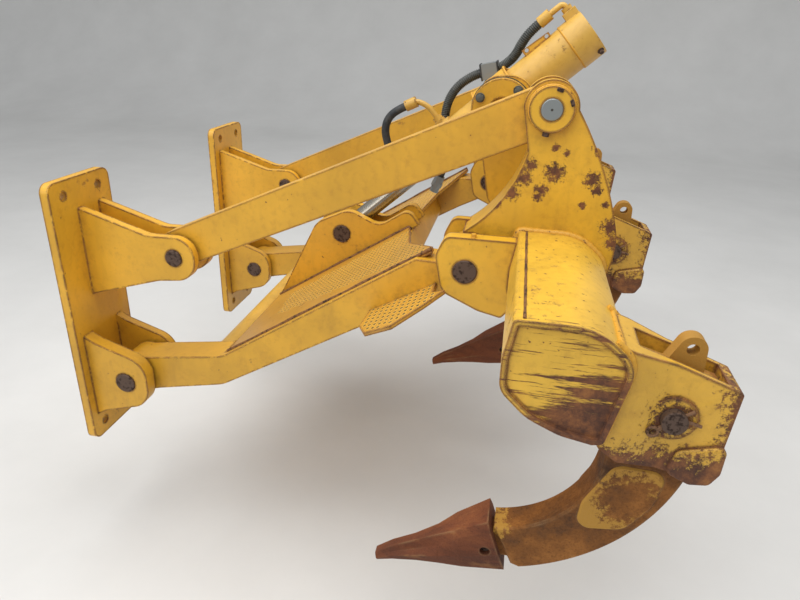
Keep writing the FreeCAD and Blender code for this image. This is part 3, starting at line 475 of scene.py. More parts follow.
# Rust: the places and colours of its ramp, from dark pits to pale dust
RUST = ((0.30, "#38221A"), (0.44, "#5A3622"), (0.56, "#7E4E2B"), (0.70, "#A06B35"))
SHANK_BROWN = ((0.3, "#46280C"), (0.5, "#7C4A12"), (0.62, "#935C20"), (0.78, "#B07F45"))
TIP_BROWN = ((0.3, "#44200C"), (0.5, "#6E3818"), (0.65, "#854B22"), (0.8, "#A06836"))

# Patches on the outside of the left tower where flakes have come off: x, z and reach
TOWER_SPOTS = ((1.402, 0.544, 0.054), (1.496, 0.531, 0.044), (1.511, 0.505, 0.030), (1.374, 0.496, 0.036),
               (1.366, 0.477, 0.026), (1.480, 0.466, 0.022), (1.557, 0.412, 0.050), (1.568, 0.370, 0.040),
               (1.397, 0.604, 0.022), (1.425, 0.593, 0.018), (1.504, 0.605, 0.034), (1.342, 0.558, 0.036),
               (1.328, 0.524, 0.044), (1.302, 0.483, 0.040), (1.268, 0.450, 0.026), (1.536, 0.470, 0.020),
               (1.470, 0.700, 0.020), (1.475, 0.660, 0.016))

# Places of wear in the side view, x and z
PIN_RUST = (1.654, 0.190)   # round each shank's pin
END_RUST = (1.515, 0.150)   # low at the rear of the beam's ends
PAD_RUB = (1.612, -0.030)   # the rubbed middle of each wear pad
TIP_SEAT = (1.352, -0.175)  # the shank's nose, where the tip begins
NEARNESS = 0.34             # how much a place's nearness counts against a cloud of flakes


def tower_flakes(tree, where):
    """Bare brown on the left tower's outside: a third of the nearness to a spot, one at the spot and
    nought at its reach, and a fine cloud are added, and flakes are gone where the sum is high."""
    fine = cloud(tree, where, 11.0, detail=10.0, rough=0.85)
    mask = 0.0
    for x, z, reach in TOWER_SPOTS:
        gap = add(tree, "VectorMath", (where, (x, -TOWER_OUT, z)), **GAP)
        mask = add(tree, "Math", (mask, add(tree, "MapRange", (gap, reach, 0.0))), **MOST)
    return ragged(tree, mask, NEARNESS, fine, 0.69, 0.73)


def worn_foot(tree, where):
    """Bare brown on the pockets: low down, along the rear edge and round the pin, ragged by flakes."""
    part = add(tree, "SeparateXYZ", (where,)).node.outputs
    worn = add(tree, "MapRange", (part["Z"], 0.170, 0.060, 0.0, 1.5))
    rear = add(tree, "MapRange", (part["X"], 1.700, 1.790, 0.0, 1.1))
    ring = add(tree, "MapRange", (from_side(tree, where, PIN_RUST), 0.078, 0.030, 0.0, 0.8))
    for mask in (rear, ring):
        worn = add(tree, "Math", (worn, mask), **MOST)
    fine = cloud(tree, where, 15.0, detail=10.0, rough=0.82)
    broad = cloud(tree, where, 90.0, 0.3, 0.7, detail=4.0)
    uneven = add(tree, "Math", (broad, 0.5, 0.5), **PLUS)
    return ragged(tree, add(tree, "Math", (uneven, worn), **TIMES), NEARNESS, fine, 0.64, 0.70)


def scraped_ends(tree, where):
    """Strokes along the machine on the beam's end plates, joining to bare brown low at the rear."""
    part = add(tree, "SeparateXYZ", (where,)).node.outputs
    on_end = add(tree, "MapRange", (add(tree, "Math", (part["Y"],), **SIZE), 1.0815, 1.0835))
    rear = add(tree, "MapRange", (from_side(tree, where, END_RUST), 0.17, 0.02))
    stroke = cloud(tree, where, 17.0, detail=8.0, rough=0.72, stretch=(0.09, 1.0, 1.0))
    broad = ragged(tree, rear, 0.30, stroke, 0.55, 0.61)
    thin = cloud(tree, where, 7.0, 0.575, 0.62, detail=6.0, stretch=(0.05, 1.0, 1.0))
    return add(tree, "Math", (on_end, add(tree, "Math", (broad, thin), **MOST)), **TIMES)


def pad_paint(tree, where):
    """Paint left on the wear pads, which stand proud of each shank's sides, but for the rubbed middle
    of each, and on the shank's head and its nose. The shanks stand a metre apart, so y wraps."""
    flakes = cloud(tree, where, 20.0, detail=9.0, rough=0.8)
    part = add(tree, "SeparateXYZ", (where,)).node.outputs
    wrapped = add(tree, "Math", (part["Y"], 0.5, -0.5), operation="WRAP")
    proud = add(tree, "MapRange", (add(tree, "Math", (wrapped,), **SIZE), 0.0375, 0.0385))
    kept = ragged(tree, flakes, 0.22, from_side(tree, where, PAD_RUB), 0.165, 0.185)
    head = ragged(tree, flakes, 0.10, part["Z"], 0.30, 0.315)
    nose = ragged(tree, flakes, 0.16, from_side(tree, where, TIP_SEAT), 0.100, 0.092)
    left = add(tree, "Math", (proud, kept), **TIMES)
    for mask in (add(tree, "Math", (head, 0.85), **TIMES), nose):
        left = add(tree, "Math", (left, mask), **MOST)
    return left


def enamel(name, colour, chips=0.5, grain_mm=0.0, run=(1, 1, 1), corner_shade=0.3, freckles=0.4, worn=None):
    """Machinery enamel sprayed over steel. The eye gets a satin yellow that is slightly uneven, corners
    knocked back to brown steel, freckles, dust in streaks, and brown painted shade in corners and hollows.
    Chips, freckles and the painted shade in corners say how much of each, run stretches the flakes at
    corners, and worn adds a mask."""
    colour = tuple(colour)
    material, tree, shine, where = start(name, colour, Coat_Weight=0.12, Coat_Roughness=0.35)
    dark, light = (tuple(np.clip(np.array(colour) * k, 0, 1)) for k in (0.80, 1.14))
    broad = cloud(tree, where, 380.0, 0.35, 0.68, detail=5.0)
    fine = cloud(tree, where, 24.0)
    streak = cloud(tree, where, 70.0, 0.55, 0.75, stretch=(1, 1, 0.18))
    # Painted shade: brown darkening where ambient occlusion finds corners and gaps hidden
    hidden = add(tree, "AmbientOcclusion", {"Distance": 0.06}, "AO", samples=4)
    corner = add(tree, "MapRange", (hidden, 0.80, 0.30, 0.0, 2 * corner_shade))
    painted_shade = add(tree, "Math", (corner, add(tree, "MapRange", (fine, 0.35, 0.6))), **TIMES)

    flakes = cloud(tree, where, 22.0, detail=9.0, rough=0.78, stretch=run)
    edge = add(tree, "Math", (corners(tree, 12.0), flakes), **TIMES)
    bare = add(tree, "MapRange", (edge, 0.56 - 0.22 * chips, 0.60 - 0.22 * chips))
    patch = cloud(tree, where, 240.0, 0.64 - 0.08 * freckles, 0.74, detail=3.0)
    flake = cloud(tree, where, 30.0, 0.565, 0.59, detail=9.0, rough=0.8)
    dots = cloud(tree, where, 12.0, 0.745 - 0.05 * freckles, 0.765 - 0.05 * freckles, 3.0, 0.5)
    for mask in (add(tree, "Math", (patch, flake), **TIMES), dots, worn and worn(tree, where)):
        if mask:
            bare = add(tree, "Math", (bare, mask), **MOST)

    brown = add(tree, "ValToRGB", (cloud(tree, where, 45.0, detail=9.0, rough=0.74),), stops=RUST)
    # Layers: random tone, fine mottling, dust streaks, brown painted shade in corners, bare rust
    coats(tree, shine, dark, ((broad, light),
                              (add(tree, "MapRange", (fine, 0.50, 0.78, 0.0, 0.45)), linear("#A87622")),
                              (add(tree, "Math", (streak, 0.22), **TIMES), linear("#7D5A22")),
                              (painted_shade, linear("#6E4C20")),
                              (bare, brown)))
    tree.links.new(add(tree, "MapRange", (bare, 0.0, 1.0, 0.40, 0.85)), shine["Roughness"])
    skin = cloud(tree, where, grain_mm or 90.0, detail=4.0)
    sunk = add(tree, "Math", (bare, -0.6), **TIMES)
    height = add(tree, "Math", (skin, 1.2 if grain_mm else 0.8, sunk), **PLUS)
    bumps = add(tree, "Bump", {"Height": height, "Distance": 1.2 * MM, "Strength": 0.7})
    tree.links.new(bumps, shine["Normal"])
    return material


def scoured_steel(name, stops, stretch=(1, 1, 1), grain_mm=6.0, painted=None):
    """Alloy steel that soil has scoured and rain has rusted since. The eye gets fine-grained brown
    with paler rubbed ridges and scratches, and paint where the soil doesn't reach."""
    material, tree, shine, where = start(name, linear(stops[1][1]))
    blotch = cloud(tree, where, 110.0, detail=9.0, rough=0.7, stretch=stretch)
    grain = cloud(tree, where, grain_mm, detail=8.0, rough=0.75)
    scratch = cloud(tree, where, 16.0, 0.60, 0.70, detail=8.0, stretch=(0.14, 1.0, 0.3))
    rubbed = add(tree, "Math", (corners(tree, 8.0), cloud(tree, where, 60.0, 0.42, 0.65)), **TIMES)
    layers = [(add(tree, "MapRange", (grain, 0.5, 0.72, 0.0, 0.6)), linear("#2E1B10")),
              (add(tree, "Math", (scratch, 0.35), **TIMES), linear("#A8743F")),
              (add(tree, "Math", (rubbed, 0.45), **TIMES), linear("#A07E55"))]
    if painted:
        layers.append((painted(tree, where), linear("#AE8030")))
    coats(tree, shine, add(tree, "ValToRGB", (blotch,), stops=stops), layers)
    tree.links.new(add(tree, "MapRange", (grain, 0.3, 0.7, 0.70, 0.92)), shine["Roughness"])
    bumps = add(tree, "Bump", {"Height": grain, "Distance": 1.6 * MM, "Strength": 0.7})
    tree.links.new(bumps, shine["Normal"])
    return material


def spotted(name, code, rough, metallic, spots, share=0.62):
    """A hard skin with dull spots of rust or dust, which begin at the share of a cloud."""
    material, tree, shine, where = start(name, linear(code), Metallic=metallic)
    spot = cloud(tree, where, 14.0, share, share + 0.08, rough=0.7)
    coats(tree, shine, linear(code), ((spot, linear(spots)),))
    dull = add(tree, "MapRange", (spot, 0.0, 1.0, rough, min(0.9, rough + 0.35)))
    tree.links.new(dull, shine["Roughness"])
    return material


def dusty(name, colour):
    """A soft dull skin with a pale bloom of dust."""
    material, tree, shine, where = start(name, colour, Roughness=0.6)
    dust = add(tree, "Math", (cloud(tree, where, 40.0, 0.45, 0.75, rough=0.7), 0.45), **TIMES)
    coats(tree, shine, colour, ((dust, linear("#6A675F")),))
    return material


def screed():
    """Smooth pale floor screed, matt, with faint clouds."""
    material, tree, shine, where = start("Pale_smooth_screed", linear("#D6D4D0"), Roughness=0.9)
    coats(tree, shine, linear("#D2D0CC"), ((cloud(tree, where, 900.0, 0.3, 0.7), linear("#DBD9D5")),))
    return material


FINISH = {}


def make_finishes():
    """Every finish by its short name."""
    shade = colours()
    # Even satin yellow, brown only at the cut edges
    FINISH["plate"] = enamel("Machinery_enamel_on_flame_cut_plate", shade.plate, 0.6, freckles=0.2)
    # The same with clusters of flakes gone and a hard brown line at each corner
    FINISH["tower"] = enamel("Chipped_machinery_enamel_on_tower_plate", shade.tower, 1.0, freckles=0.3,
                             worn=tower_flakes)
    # Browner and more freckled, because boots and soil rub it, and with more painted shade in its corners
    FINISH["deck"] = enamel("Trodden_machinery_enamel_on_tread_plate", shade.deck, 0.8, corner_shade=0.5,
                            freckles=0.6)
    # Clean long faces whose edges are nicked lengthwise
    FINISH["link"] = enamel("Machinery_enamel_on_link_bar", shade.link, 0.8, run=(0.3, 1, 0.6),
                            freckles=0.0)
    # Paler and smoother, with hardly a chip
    FINISH["smooth"] = enamel("Machinery_enamel_on_turned_tube", shade.smooth, 0.1, corner_shade=0.2)
    # Sand grain under the paint, and bare brown feet and pin bosses
    FINISH["cast"] = enamel("Machinery_enamel_on_sand_cast_steel", shade.cast, 1.25, 9.0, freckles=0.6,
                            worn=worn_foot)
    # Many freckles, and ends scraped bare in strokes
    FINISH["beam"] = enamel("Scraped_machinery_enamel_on_rolled_beam", shade.beam, 1.5, run=(1, 0.3, 1),
                            freckles=1.3, worn=scraped_ends)
    # Ochre brown with old paint on its pads
    FINISH["shank"] = scoured_steel("Cast_alloy_steel_scoured_by_soil", SHANK_BROWN, painted=pad_paint)
    # Redder and finer, drawn out along the tip
    FINISH["tip"] = scoured_steel("Forged_steel_with_fresh_rust", TIP_BROWN, (0.25, 1, 1), 4.0)
    # Dimple rims rubbed bright; weld beads, painted or long rusted
    FINISH["dimple"] = spotted("Rubbed_machinery_enamel_on_pressed_dimples", "#E3B347", 0.45, 0.0, "#B98A3C")
    FINISH["weld"] = spotted("Enamelled_weld_bead", "#D0992E", 0.5, 0.0, "#5E3C22", 0.58)
    FINISH["bead"] = spotted("Weld_bead_with_old_rust", "#7A5128", 0.7, 0.0, "#3F2818", 0.5)
    # Dull brown ends of pins and wire, half grease and half rust
    FINISH["pin"] = spotted("Turned_steel_pin_with_brown_rust", "#5A463A", 0.6, 0.3, "#36261D", 0.5)
    FINISH["cotter"] = spotted("Spring_steel_wire_with_brown_rust", "#7A583C", 0.6, 0.2, "#3E291C", 0.52)
    # Soft grey shine of plating, a bright rod with dull dust, and a grey wire
    FINISH["zinc"] = spotted("Zinc_plated_turned_steel", "#8F9494", 0.45, 0.7, "#6B5B4C")
    FINISH["chrome"] = spotted("Hard_chrome_plated_rod", "#A09A8E", 0.24, 1.0, "#857C6C", 0.56)
    FINISH["wire"] = spotted("Galvanised_spring_wire", "#5D5F59", 0.5, 0.4, "#3B3A35", 0.55)
    # Near-black rubber gone grey, and painted shade: dark pieces that stand for the shade in holes and joint
    # gaps
    FINISH["rubber"] = dusty("Moulded_nitrile_rubber", tuple(shade.hose))
    FINISH["dark"] = dusty("Painted_shade_in_holes_and_gaps", linear("#1C1712"))
    FINISH["floor"] = screed()


def finish(name):
    """The finish of that short name. All are made when the first is asked for."""
    if not FINISH:
        make_finishes()
    return FINISH[name]


# Camera and stage

CAMERA_PLACE = (1.306, -2.160, 0.881)
CAMERA_PITCH = math.radians(24.0)
CAMERA_YAW = math.radians(10.07)
CAMERA_ROLL = math.radians(1.94)
CAMERA_LENS = 28.28         # mm, on a sensor 36 mm wide
SWEEP_START = 7.0           # where the floor begins to turn up, and the radius of the turn
SWEEP_R = 3.0
WALL_TOP = 9.0
STAGE_HALF = 25.0
SKY = ("#F1F5FA", 0.62)     # colour and strength
# Name, place, size and power of each lamp, and what all of them face
LAMPS = (("Sky_panel", (0.6, -0.8, 4.2), 5.0, 230.0),
         ("Front_panel", (-1.8, -4.5, 2.6), 3.0, 60.0))
LAMP_AIM = Vector((1.2, 0.0, 0.1))


class RIPPER_OT_stage(bpy.types.Operator):
    """Camera, floor that turns up into a wall, and soft light"""
    bl_idname = "ripper.stage"
    bl_label = "Stage"

    def execute(self, context):
        self.camera(context.scene)
        self.floor()
        self.light(context.scene)
        return {"FINISHED"}

    def camera(self, scene):
        """Stands where the photograph was taken, turned by yaw, then pitch down, then roll."""
        flat = Vector((-math.sin(CAMERA_YAW), math.cos(CAMERA_YAW), 0))
        right = Vector((math.cos(CAMERA_YAW), math.sin(CAMERA_YAW), 0))
        up = Vector((0, 0, 1))
        ahead = flat * math.cos(CAMERA_PITCH) - up * math.sin(CAMERA_PITCH)
        top = flat * math.sin(CAMERA_PITCH) + up * math.cos(CAMERA_PITCH)
        x = right * math.cos(CAMERA_ROLL) + top * math.sin(CAMERA_ROLL)
        y = top * math.cos(CAMERA_ROLL) - right * math.sin(CAMERA_ROLL)
        turned = Matrix((x, y, -ahead)).transposed().to_4x4()
        data = bpy.data.cameras.new("Camera")
        data.lens = CAMERA_LENS
        data.sensor_width = 36.0
        camera = stand("Camera", data)
        camera.matrix_world = Matrix.Translation(CAMERA_PLACE) @ turned
        scene.camera = camera

    def floor(self):
        """Flat run, quarter circle and upright run, carried across."""
        turn = np.linspace(0, math.pi / 2, 25)
        y = np.concatenate([[-STAGE_HALF], SWEEP_START + SWEEP_R * np.sin(turn), [SWEEP_START + SWEEP_R]])
        z = GROUND + np.concatenate([[0.0], SWEEP_R * (1 - np.cos(turn)), [WALL_TOP]])
        points = np.array([[(x, b, c) for x in (-STAGE_HALF, STAGE_HALF)] for b, c in zip(y, z)])
        mesh = bpy.data.meshes.new("Floor")
        mesh.from_pydata(points.reshape(-1, 3).tolist(), [], grid_faces(len(y), 2, False))
        mesh.shade_smooth()
        mesh.materials.append(finish("floor"))
        stand("Floor", mesh)

    def light(self, scene):
        """Overcast sky with two large panels."""
        world = bpy.data.worlds.new("Overcast sky")
        world.use_nodes = True
        back = world.node_tree.nodes["Background"].inputs
        back["Color"].default_value = linear(SKY[0])
        back["Strength"].default_value = SKY[1]
        scene.world = world
        scene.view_settings.view_transform = "Standard"
        for name, place, size, power in LAMPS:
            lamp = bpy.data.lights.new(name, "AREA")
            lamp.size = size
            lamp.energy = power
            light = stand(name, lamp)
            light.location = place
            light.rotation_euler = (LAMP_AIM - Vector(place)).to_track_quat("-Z", "Y").to_euler()


# Hoses

# Points of the hoses in metres: along the barrel from the trunnion, above its skin, across
GUARDED_HOSE = ((0.224, 0.048, 0.003), (0.186, 0.047, 0.008), (0.148, 0.036, 0.020), (0.114, 0.020, 0.040),
                (0.077, 0.016, 0.057), (0.038, 0.023, 0.064), (0.0, 0.044, 0.066), (-0.045, 0.059, 0.066),
                (-0.095, 0.063, 0.069), (-0.142, 0.050, 0.076), (-0.182, 0.023, 0.085),
                (-0.215, -0.013, 0.093), (-0.243, -0.051, 0.098), (-0.271, -0.090, 0.101),
                (-0.303, -0.122, 0.103), (-0.340, -0.142, 0.104))
GLAND_HOSE = ((-0.260, 0.122, 0.0), (-0.294, 0.132, 0.0), (-0.331, 0.131, 0.0), (-0.361, 0.114, 0.001),
              (-0.382, 0.086, 0.003), (-0.395, 0.055, 0.005))
HOSE_R = 0.0135
GUARD_R = 0.0148            # centre line of the guard's wire
GUARD_WIRE = 0.0013
GUARD_START = 0.004
GUARD_SHARE = 0.70          # share of the hose that has a guard
CLAMPED = (5, 6)            # the guarded hose's points before and after the clamp's middle
CLAMP_SIZE = 0.050
CLAMP_RUBBER = 0.005        # thickness of the clamp's rubber plates
CLAMP_GAP = 0.033           # half of the length that the clamp and its rubber plates take


def on_barrel(along, above, across):
    """Place by its distance from the trunnion along the barrel, above its skin and across."""
    return TRUNNION + along * CYLINDER_WAY + (BARREL_R + above) * CYLINDER_UP + across * ACROSS


def clamp_middle():
    """Middle of the clamp, and the guarded hose's direction there."""
    before, after = (on_barrel(*GUARDED_HOSE[number]) for number in CLAMPED)
    return (before + after) / 2, unit(after - before)


def spline_of(name, route):
    """A curve of one open spline with the route's points as its control points."""
    curve = bpy.data.curves.new(name, "CURVE")
    curve.dimensions = "3D"
    curve.resolution_u = 12
    run = curve.splines.new("NURBS")
    run.points.add(len(route) - 1)
    run.points.foreach_set("co", np.column_stack([route, np.ones(len(route))]).ravel())
    run.order_u = 3
    run.use_endpoint_u = True
    return curve


def line_of(route):
    """Points along the spline of a route, read from a curve that has no thickness."""
    thing = bpy.data.objects.new("Line", spline_of("Line", route))
    mesh = bpy.data.meshes.new_from_object(thing)
    line = np.empty(len(mesh.vertices) * 3)
    mesh.vertices.foreach_get("co", line)
    curve = thing.data
    bpy.data.objects.remove(thing)
    bpy.data.curves.remove(curve)
    bpy.data.meshes.remove(mesh)
    return line.reshape(-1, 3)


def coil(line, first, last, pitch):
    """Spring guard: at each distance s along the line, from the first to the last, the wire's centre is
    line(s) + R (u cos a + v sin a), with a one full turn for each pitch."""
    s = np.linspace(first, last, int((last - first) / pitch * 10))
    centre = at(line, s)
    way = unit(np.gradient(centre, axis=0))
    u = unit(np.cross(way, ACROSS))
    v = np.cross(way, u)
    a = (2 * math.pi * s / pitch)[:, None]
    radial = np.cos(a) * u + np.sin(a) * v
    return tube(centre + GUARD_R * radial, GUARD_WIRE, 5, radial)


class RIPPER_OT_hoses(bpy.types.Operator):
    """Two hoses on the cylinder, one with a spring guard, with their couplings"""
    bl_idname = "ripper.hoses"
    bl_label = "Hoses"

    def execute(self, context):
        line = line_of([on_barrel(*place) for place in GUARDED_HOSE])
        reach = reaches(line)
        held = reach[np.argmin(np.linalg.norm(line - clamp_middle()[0], axis=1))]
        runs = ((GUARD_START, held - CLAMP_GAP), (held + CLAMP_GAP, GUARD_SHARE * reach[-1]))
        guard = join([coil(line, first, last, sizes().guard) for first, last in runs])
        spring = piece("Hose_guard_spring", guard, "wire", "cylinder_barrel")
        self.lay("Hose_guarded", GUARDED_HOSE, "hose_guarded", "hose_coupling_guarded", spring)
        self.lay("Hose_gland", GLAND_HOSE, "hose_gland", "hose_coupling_gland")
        return {"FINISHED"}

    def lay(self, name, places, node, coupling, *others):
        """One hose as a curve with a round section, and its coupling. What sits on it is not used."""
        route = [on_barrel(*place) for place in places]
        curve = spline_of(name, route)
        curve.bevel_depth = HOSE_R
        curve.bevel_resolution = 5
        curve.use_fill_caps = True
        curve.materials.append(finish("rubber"))
        hose = stand(name, curve, "cylinder_barrel")
        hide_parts(node)
        nut = dress(coupling, "zinc", FINE_EDGE)
        reaches(line_of(route))[-1]


# Frame pieces

PLATES = ("mount_bracket_left", "mount_bracket_right", "lower_arm_left", "lower_arm_right",
          "frame_cross_box", "rod_ears", "trunnion_support_left", "trunnion_support_right",
          "trunnion_cap_left", "trunnion_cap_right", "hose_bracket")
BROWN_PINS = ("lower_front_pins", "upper_front_pins", "lower_rear_pins", "rod_eye_pin", "shank_pins",
              "tip_pins")


class RIPPER_OT_plates(bpy.types.Operator):
    """Flame-cut plates, towers, links, treads and the tube between the arms"""
    bl_idname = "ripper.plates"
    bl_label = "Plates"

    def execute(self, context):
        edge = sizes().edge
        for node in PLATES:
            dress(node, "plate", edge)
        for side, _ in SIDES:
            dress("tower_" + side, "tower", edge)
            dress("upper_link_" + side, "link", edge)
            dress("deck_plate_" + side, "deck", SHEET_EDGE)
        dress("arm_step", "deck", SHEET_EDGE)
        dress("frame_cross_tube", "smooth", SHEET_EDGE)
        return {"FINISHED"}


class RIPPER_OT_castings(bpy.types.Operator):
    """Rolled beam and its three cast pockets"""
    bl_idname = "ripper.castings"
    bl_label = "Beam and pockets"

    def execute(self, context):
        dress("beam", "beam", CAST_EDGE)
        for name, _ in POCKETS:
            dress("shank_pocket_" + name, "cast", POCKET_EDGE)
        return {"FINISHED"}


class RIPPER_OT_shanks(bpy.types.Operator):
    """Shanks and their tips"""
    bl_idname = "ripper.shanks"
    bl_label = "Shanks"

    def execute(self, context):
        for name, _ in POCKETS:
            dress("shank_" + name, "shank", CAST_EDGE)
            dress("shank_tip_" + name, "tip", CAST_EDGE)
        return {"FINISHED"}


# Profile of the rod's wiper ring, distance and radius from the gland's face, and the plug in the
# barrel's head: along the barrel, radius, and its direction across and above
WIPER = ((0.002, 0.030), (-0.004, 0.042), (-0.007, 0.040), (-0.007, 0.033))
PLUG_ALONG = 0.318
PLUG_R = 0.0745
PLUG_WAY = unit(-0.050 * ACROSS - 0.0587 * CYLINDER_UP)


class RIPPER_OT_cylinder(bpy.types.Operator):
    """Cylinder with its trunnion, pipes and clamp, wiper ring and head plug"""
    bl_idname = "ripper.cylinder"
    bl_label = "Cylinder"

    def execute(self, context):
        dress("cylinder_barrel", "smooth", TURNED_EDGE)
        dress("cylinder_trunnion", "plate", TURNED_EDGE)
        dress("cylinder_rod", "chrome", TURNED_EDGE)
        for node in ("head_pipe", "gland_pipe"):
            dress(node, "smooth", FINE_EDGE)
        dress("hose_clamp", "zinc", CAST_EDGE)
        wiper = lathe(WIPER, TRUNNION - BARREL_FRONT * CYLINDER_WAY, CYLINDER_WAY)
        piece("Rod_wiper", wiper, "rubber", "cylinder_barrel")
        plug = bolt(TRUNNION + PLUG_ALONG * CYLINDER_WAY + PLUG_R * PLUG_WAY, PLUG_WAY, 0.013, 0.020)
        piece("Head_plug", plug, "pin", "cylinder_barrel")
        self.clamp_plates()
        return {"FINISHED"}

    def clamp_plates(self):
        """Rubber plates on both ends of the clamp, square to the hose, 2 mm wider all round."""
        centre, way = clamp_middle()
        side = unit(np.cross(CYLINDER_UP, way))
        outline = round_box((CLAMP_SIZE + 0.004, CLAMP_SIZE + 0.004), 0.004)
        ends = [plate(outline, centre + way * start, side, np.cross(way, side), CLAMP_RUBBER, FINE_EDGE)
                for start in (CLAMP_SIZE / 2, -CLAMP_SIZE / 2 - CLAMP_RUBBER)]
        piece("Clamp_rubber_plates", join(ends), "rubber", "cylinder_barrel")


# A dark disc of painted shade for the centre hole in each upper pin's face: distance from the face and
# radius
CENTRE_HOLE_SHADE = ((-0.001, 0.003), (0.0004, 0.003))
PIN_RIM_R = 0.029
PIN_RIM_WIRE = 0.0018


class RIPPER_OT_pins(bpy.types.Operator):
    """Pins, with a raised ring on the rod's pin and a dark disc of painted shade for a centre hole in the
    upper ones
    """
    bl_idname = "ripper.pins"
    bl_label = "Pins"

    def execute(self, context):
        for node in BROWN_PINS:
            dress(node, "pin", FINE_EDGE)
        dress("upper_rear_pins", "zinc", FINE_EDGE)
        dots = []
        rims = []
        for _, sign in SIDES:
            dots.append(lathe(CENTRE_HOLE_SHADE, UPPER_REAR + sign * PIN_FACE * ACROSS, sign * ACROSS, 12))
            rim = circle(ROD_PIN + sign * (ROD_PIN_FACE - SUNK) * ACROSS, ACROSS, PIN_RIM_R)
            rims.append(tube(rim, PIN_RIM_WIRE, 6))
        piece("Painted_shade_of_pin_centre_holes", join(dots), "dark", BODY_OF["upper_rear_pins"])
        piece("Rod_pin_rims", join(rims), "pin", BODY_OF["rod_eye_pin"])
        return {"FINISHED"}


# Small steel parts

def bolt(centre, way, flats, washer):
    """Hexagon head, 0.65 of its flats high, on a round washer 3 mm thick, turned about one axis."""
    way = unit(way)
    high = 0.65 * flats
    disc = ((-0.001, washer / 2), (0.0025, washer / 2), (0.003, washer / 2 - 0.0006))
    head = ((0.003, flats / 2 * 0.96), (0.0035, flats / 2), (0.0025 + high, flats / 2),
            (0.003 + high, flats / 2 * 0.86))
    return join([lathe(disc, centre, way, 20), lathe(head, centre, way, 12, 6)])


CAP_BOLT_ANGLES = (52, 154, 232, 334)
CAP_BOLT_R = 0.072
# The dark line in each cap's joint is painted shade of the gap there
CAP_SHADE_LINE = 0.0002           # how far the dark line of each cap's joint stands off its support
CAP_SHADE_LINE_R = 0.0024
TAB_PLACES = ((73.5, 0.048), (21.4, 0.049))     # lock tabs on the collar's face: angle and radius
TAB_SIZE = (0.009, 0.016)
TAB_THICK = 0.004
COLLAR_BOLT_ANGLE = -97
PLUG_PLACE = (1.217, 0.607)                     # grease plug on the tower's lower lug: x and y


def round_from(centre, angle, radius, y):
    """Place at an angle in degrees, from rearward towards up, and a radius about a centre, at y; and
    the directions outward and onward there."""
    a = math.radians(angle)
    out = np.array((math.cos(a), 0.0, math.sin(a)))
    onward = np.array((-math.sin(a), 0.0, math.cos(a)))
    return np.array((centre[0], y, centre[2])) + radius * out, out, onward


class RIPPER_OT_bolts(bpy.types.Operator):
    """Cap bolts, dark rings of painted shade in the caps' joints, lock tabs and bolts on the collars, and
    grease plugs
    """
    bl_idname = "ripper.bolts"
    bl_label = "Bolts"

    def execute(self, context):
        heads = []
        lines = []
        locks = []
        plugs = []
        for side, sign in SIDES:
            for angle in CAP_BOLT_ANGLES:
                place, _, _ = round_from(TRUNNION, angle, CAP_BOLT_R, sign * CAP_FACE)
                heads.append(bolt(place, sign * ACROSS, 0.019, 0.028))
            # A dark ring of painted shade where the cap's joint with its support leaves a gap
            joint = circle(TRUNNION + sign * (SUPPORT_OUT + CAP_SHADE_LINE) * ACROSS, ACROSS, CAP_R + SUNK)
            lines.append(tube(joint, CAP_SHADE_LINE_R, 6))
            for angle, radius in TAB_PLACES:
                place, out, onward = round_from(UPPER_REAR, angle, radius, sign * COLLAR_FACE)
                # Outward x onward points to the left, and the other way round to the right
                ways = (out, onward)[::-sign]
                locks.append(plate(round_box(TAB_SIZE[::-sign], 0.002), place, *ways, TAB_THICK, 0.0008))
            place, out, _ = round_from(UPPER_REAR, COLLAR_BOLT_ANGLE, COLLAR_R - FINE_EDGE,
                                       sign * (TOWER_OUT + COLLAR_FACE) / 2)
            locks.append(bolt(place, out, 0.015, 0.018))
            spot, normal = press("tower_" + side, (PLUG_PLACE[0], sign * PLUG_PLACE[1], HIGH), DOWN)
            plugs.append(bolt(spot, normal, 0.012, 0.015))
        piece("Cap_bolts", join(heads), "wire", BODY_OF["trunnion_cap_left"])
        piece("Painted_shade_of_cap_joints", join(lines), "dark", BODY_OF["trunnion_cap_left"])
        piece("Collar_locks", join(locks), "pin", BODY_OF["tower_left"])
        piece("Grease_plugs", join(plugs), "weld", BODY_OF["tower_left"])
        return {"FINISHED"}


# Split pins in the side view, x and z from the shank pin's middle: centre of the loop, and both legs
COTTER_OUT = 0.068          # from the pocket's middle plane out to the split pin
COTTER_WIRE = 0.0036
COTTER_LOOP_R = 0.010
COTTER_LOOP = (-0.034, -0.029)
COTTER_LEGS = (((-0.028, -0.022), (0.0, 0.002), (0.022, 0.018), (0.033, 0.026)),
               ((-0.026, -0.026), (0.0, -0.002), (0.028, 0.001), (0.051, -0.005)))


class RIPPER_OT_cotters(bpy.types.Operator):
    """Split pins through the shank pins: a loop and two splayed legs, round wire along smooth paths"""
    bl_idname = "ripper.cotters"
    bl_label = "Split pins"

    def execute(self, context):
        wires = []
        for _, y0 in POCKETS:
            centre = np.array((SHANK_PIN[0], y0 - COTTER_OUT, SHANK_PIN[2]))
            loop = centre + np.array((COTTER_LOOP[0], 0, COTTER_LOOP[1]))
            wires.append(circle(loop, ACROSS, COTTER_LOOP_R, 25))
            wires += [smooth([centre + np.array((x, 0, z)) for x, z in leg], 20) for leg in COTTER_LEGS]
        shape = join([tube(wire, COTTER_WIRE) for wire in wires])
        piece("Split_pins", shape, "cotter", BODY_OF["shank_pins"])
        return {"FINISHED"}


# Welds

BEAM_CENTRE = (1.437, 0.0, 0.260)
